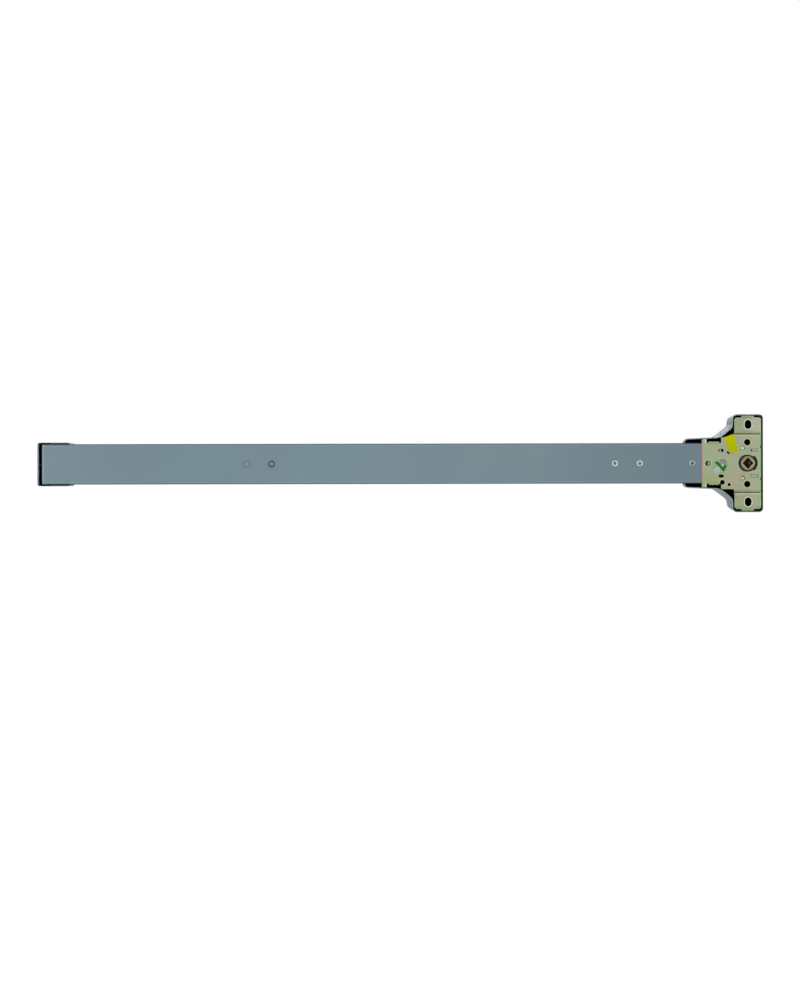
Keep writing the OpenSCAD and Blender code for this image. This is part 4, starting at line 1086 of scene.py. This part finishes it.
# %% [markdown]
# The object floats in a white studio. The floor lies well below it and takes a soft shadow. It
# fades out about two metres away, and is white to the camera and in reflections. The light that it
# and the world really give is less. Large soft lamps on both sides and above give the rest.


# %% Studio: floor and world
MIDDLE_X, FLOOR_Z = -0.43, -0.34


def studio_floor():
    """A white floor that shows its shadow and can't be seen from below."""
    bm = bmesh.new()
    bmesh.ops.create_grid(bm, x_segments=2, y_segments=2, size=8)
    bmesh.ops.translate(bm, vec=(MIDDLE_X, 0, FLOOR_Z), verts=bm.verts)
    mesh = bpy.data.meshes.new("studio_floor")
    bm.to_mesh(mesh)
    bm.free()
    floor = placed("studio_floor", mesh)
    paper = Finish("studio_paper", metallic=0.0, roughness=0.9, specular_ior_level=0.1)
    fibre = paper.noise(0.3)
    paper.set(base_color=paper.mix(fibre, seen(252, 252, 252), seen(255, 255, 255)))
    glow = paper.add("ShaderNodeEmission", inputs={
        "Color": (1, 1, 1, 1), "Strength": paper.looked_at() * 0.6})
    both = paper.add("ShaderNodeAddShader", inputs={
        0: Signal(paper, paper.shader.outputs[0]), 1: glow})
    clear = paper.add("ShaderNodeBsdfTransparent")
    back = paper.add("ShaderNodeNewGeometry", output=6)
    dx, dy = paper.along("X") - MIDDLE_X, paper.along("Y")
    far = paper.above(distance(dx, dy), 1.0, 2.2)
    gone = back.at_least(far)
    seen_from = paper.add("ShaderNodeMixShader", inputs={0: gone, 1: both, 2: clear})
    out = paper.tree.nodes["Material Output"]
    paper.tree.links.new(seen_from.socket, out.inputs["Surface"])
    mesh.materials.append(paper.material)


studio_floor()
world = bpy.data.worlds.new("studio")
world.use_nodes = True
bpy.context.scene.world = world
GIVEN = 0.28
sky = Board(world.node_tree)
bright = sky.tree.nodes["Background"]
bright.inputs["Color"].default_value = (1, 1, 1, 1)
strength = sky.looked_at() * (1 - GIVEN) + GIVEN
sky.tree.links.new(strength.socket, bright.inputs["Strength"])
print("studio set")


# %% Lamps
def lamp(name, place, target, size, power):
    """A soft rectangular lamp at a place, turned towards its target."""
    light = bpy.data.lights.new(name, "AREA")
    light.shape, light.size, light.size_y, light.energy = "RECTANGLE", size[0], size[1], power
    thing = placed(name, light)
    thing.location = place
    away = Vector(target) - Vector(place)
    thing.rotation_euler = away.to_track_quat("-Z", "Y").to_euler()


middle = (MIDDLE_X, 0.03, 0.0)
lamp("door_side_left", (-1.6, -2.5, 0.3), middle, (1.6, 1.6), 33)
lamp("door_side_right", (1.1, -2.5, 0.3), middle, (1.6, 1.6), 14)
lamp("room_side", (-0.1, 2.6, 0.9), middle, (2.2, 1.4), 38)
lamp("overhead", (MIDDLE_X, 0.3, 2.2), middle, (2.4, 1.2), 5)

# %% [markdown]
# The photograph is taken square on to the door side, from about 2.7 m. One picture element is
# 1.234 mm at the door's plane, which gives the lens for Blender's 36 mm sensor. The object lies a
# little above the middle of the picture, so the lens is shifted and the camera stays level.

# %% The camera
SCALE, DISTANCE, SENSOR = 1.234e-3, 2.7, 36
PICTURE_HEIGHT, AXIS_ROW = 1000, 463.8
# The object hangs a tenth of a degree out of level in the picture
ROLL = 0.11
camera = placed("camera", bpy.data.cameras.new("camera"))
camera.location = (-0.4296, -DISTANCE, 0.0)
camera.rotation_euler = (math.radians(90), math.radians(ROLL), 0)
camera.data.sensor_width = SENSOR
camera.data.lens = SENSOR * DISTANCE / (SCALE * PICTURE_HEIGHT)
camera.data.shift_y = AXIS_ROW / PICTURE_HEIGHT - 0.5
bpy.context.scene.camera = camera
bpy.context.scene.view_settings.view_transform = "Standard"
print("lens", round(camera.data.lens, 1), "mm")

# %% [markdown]
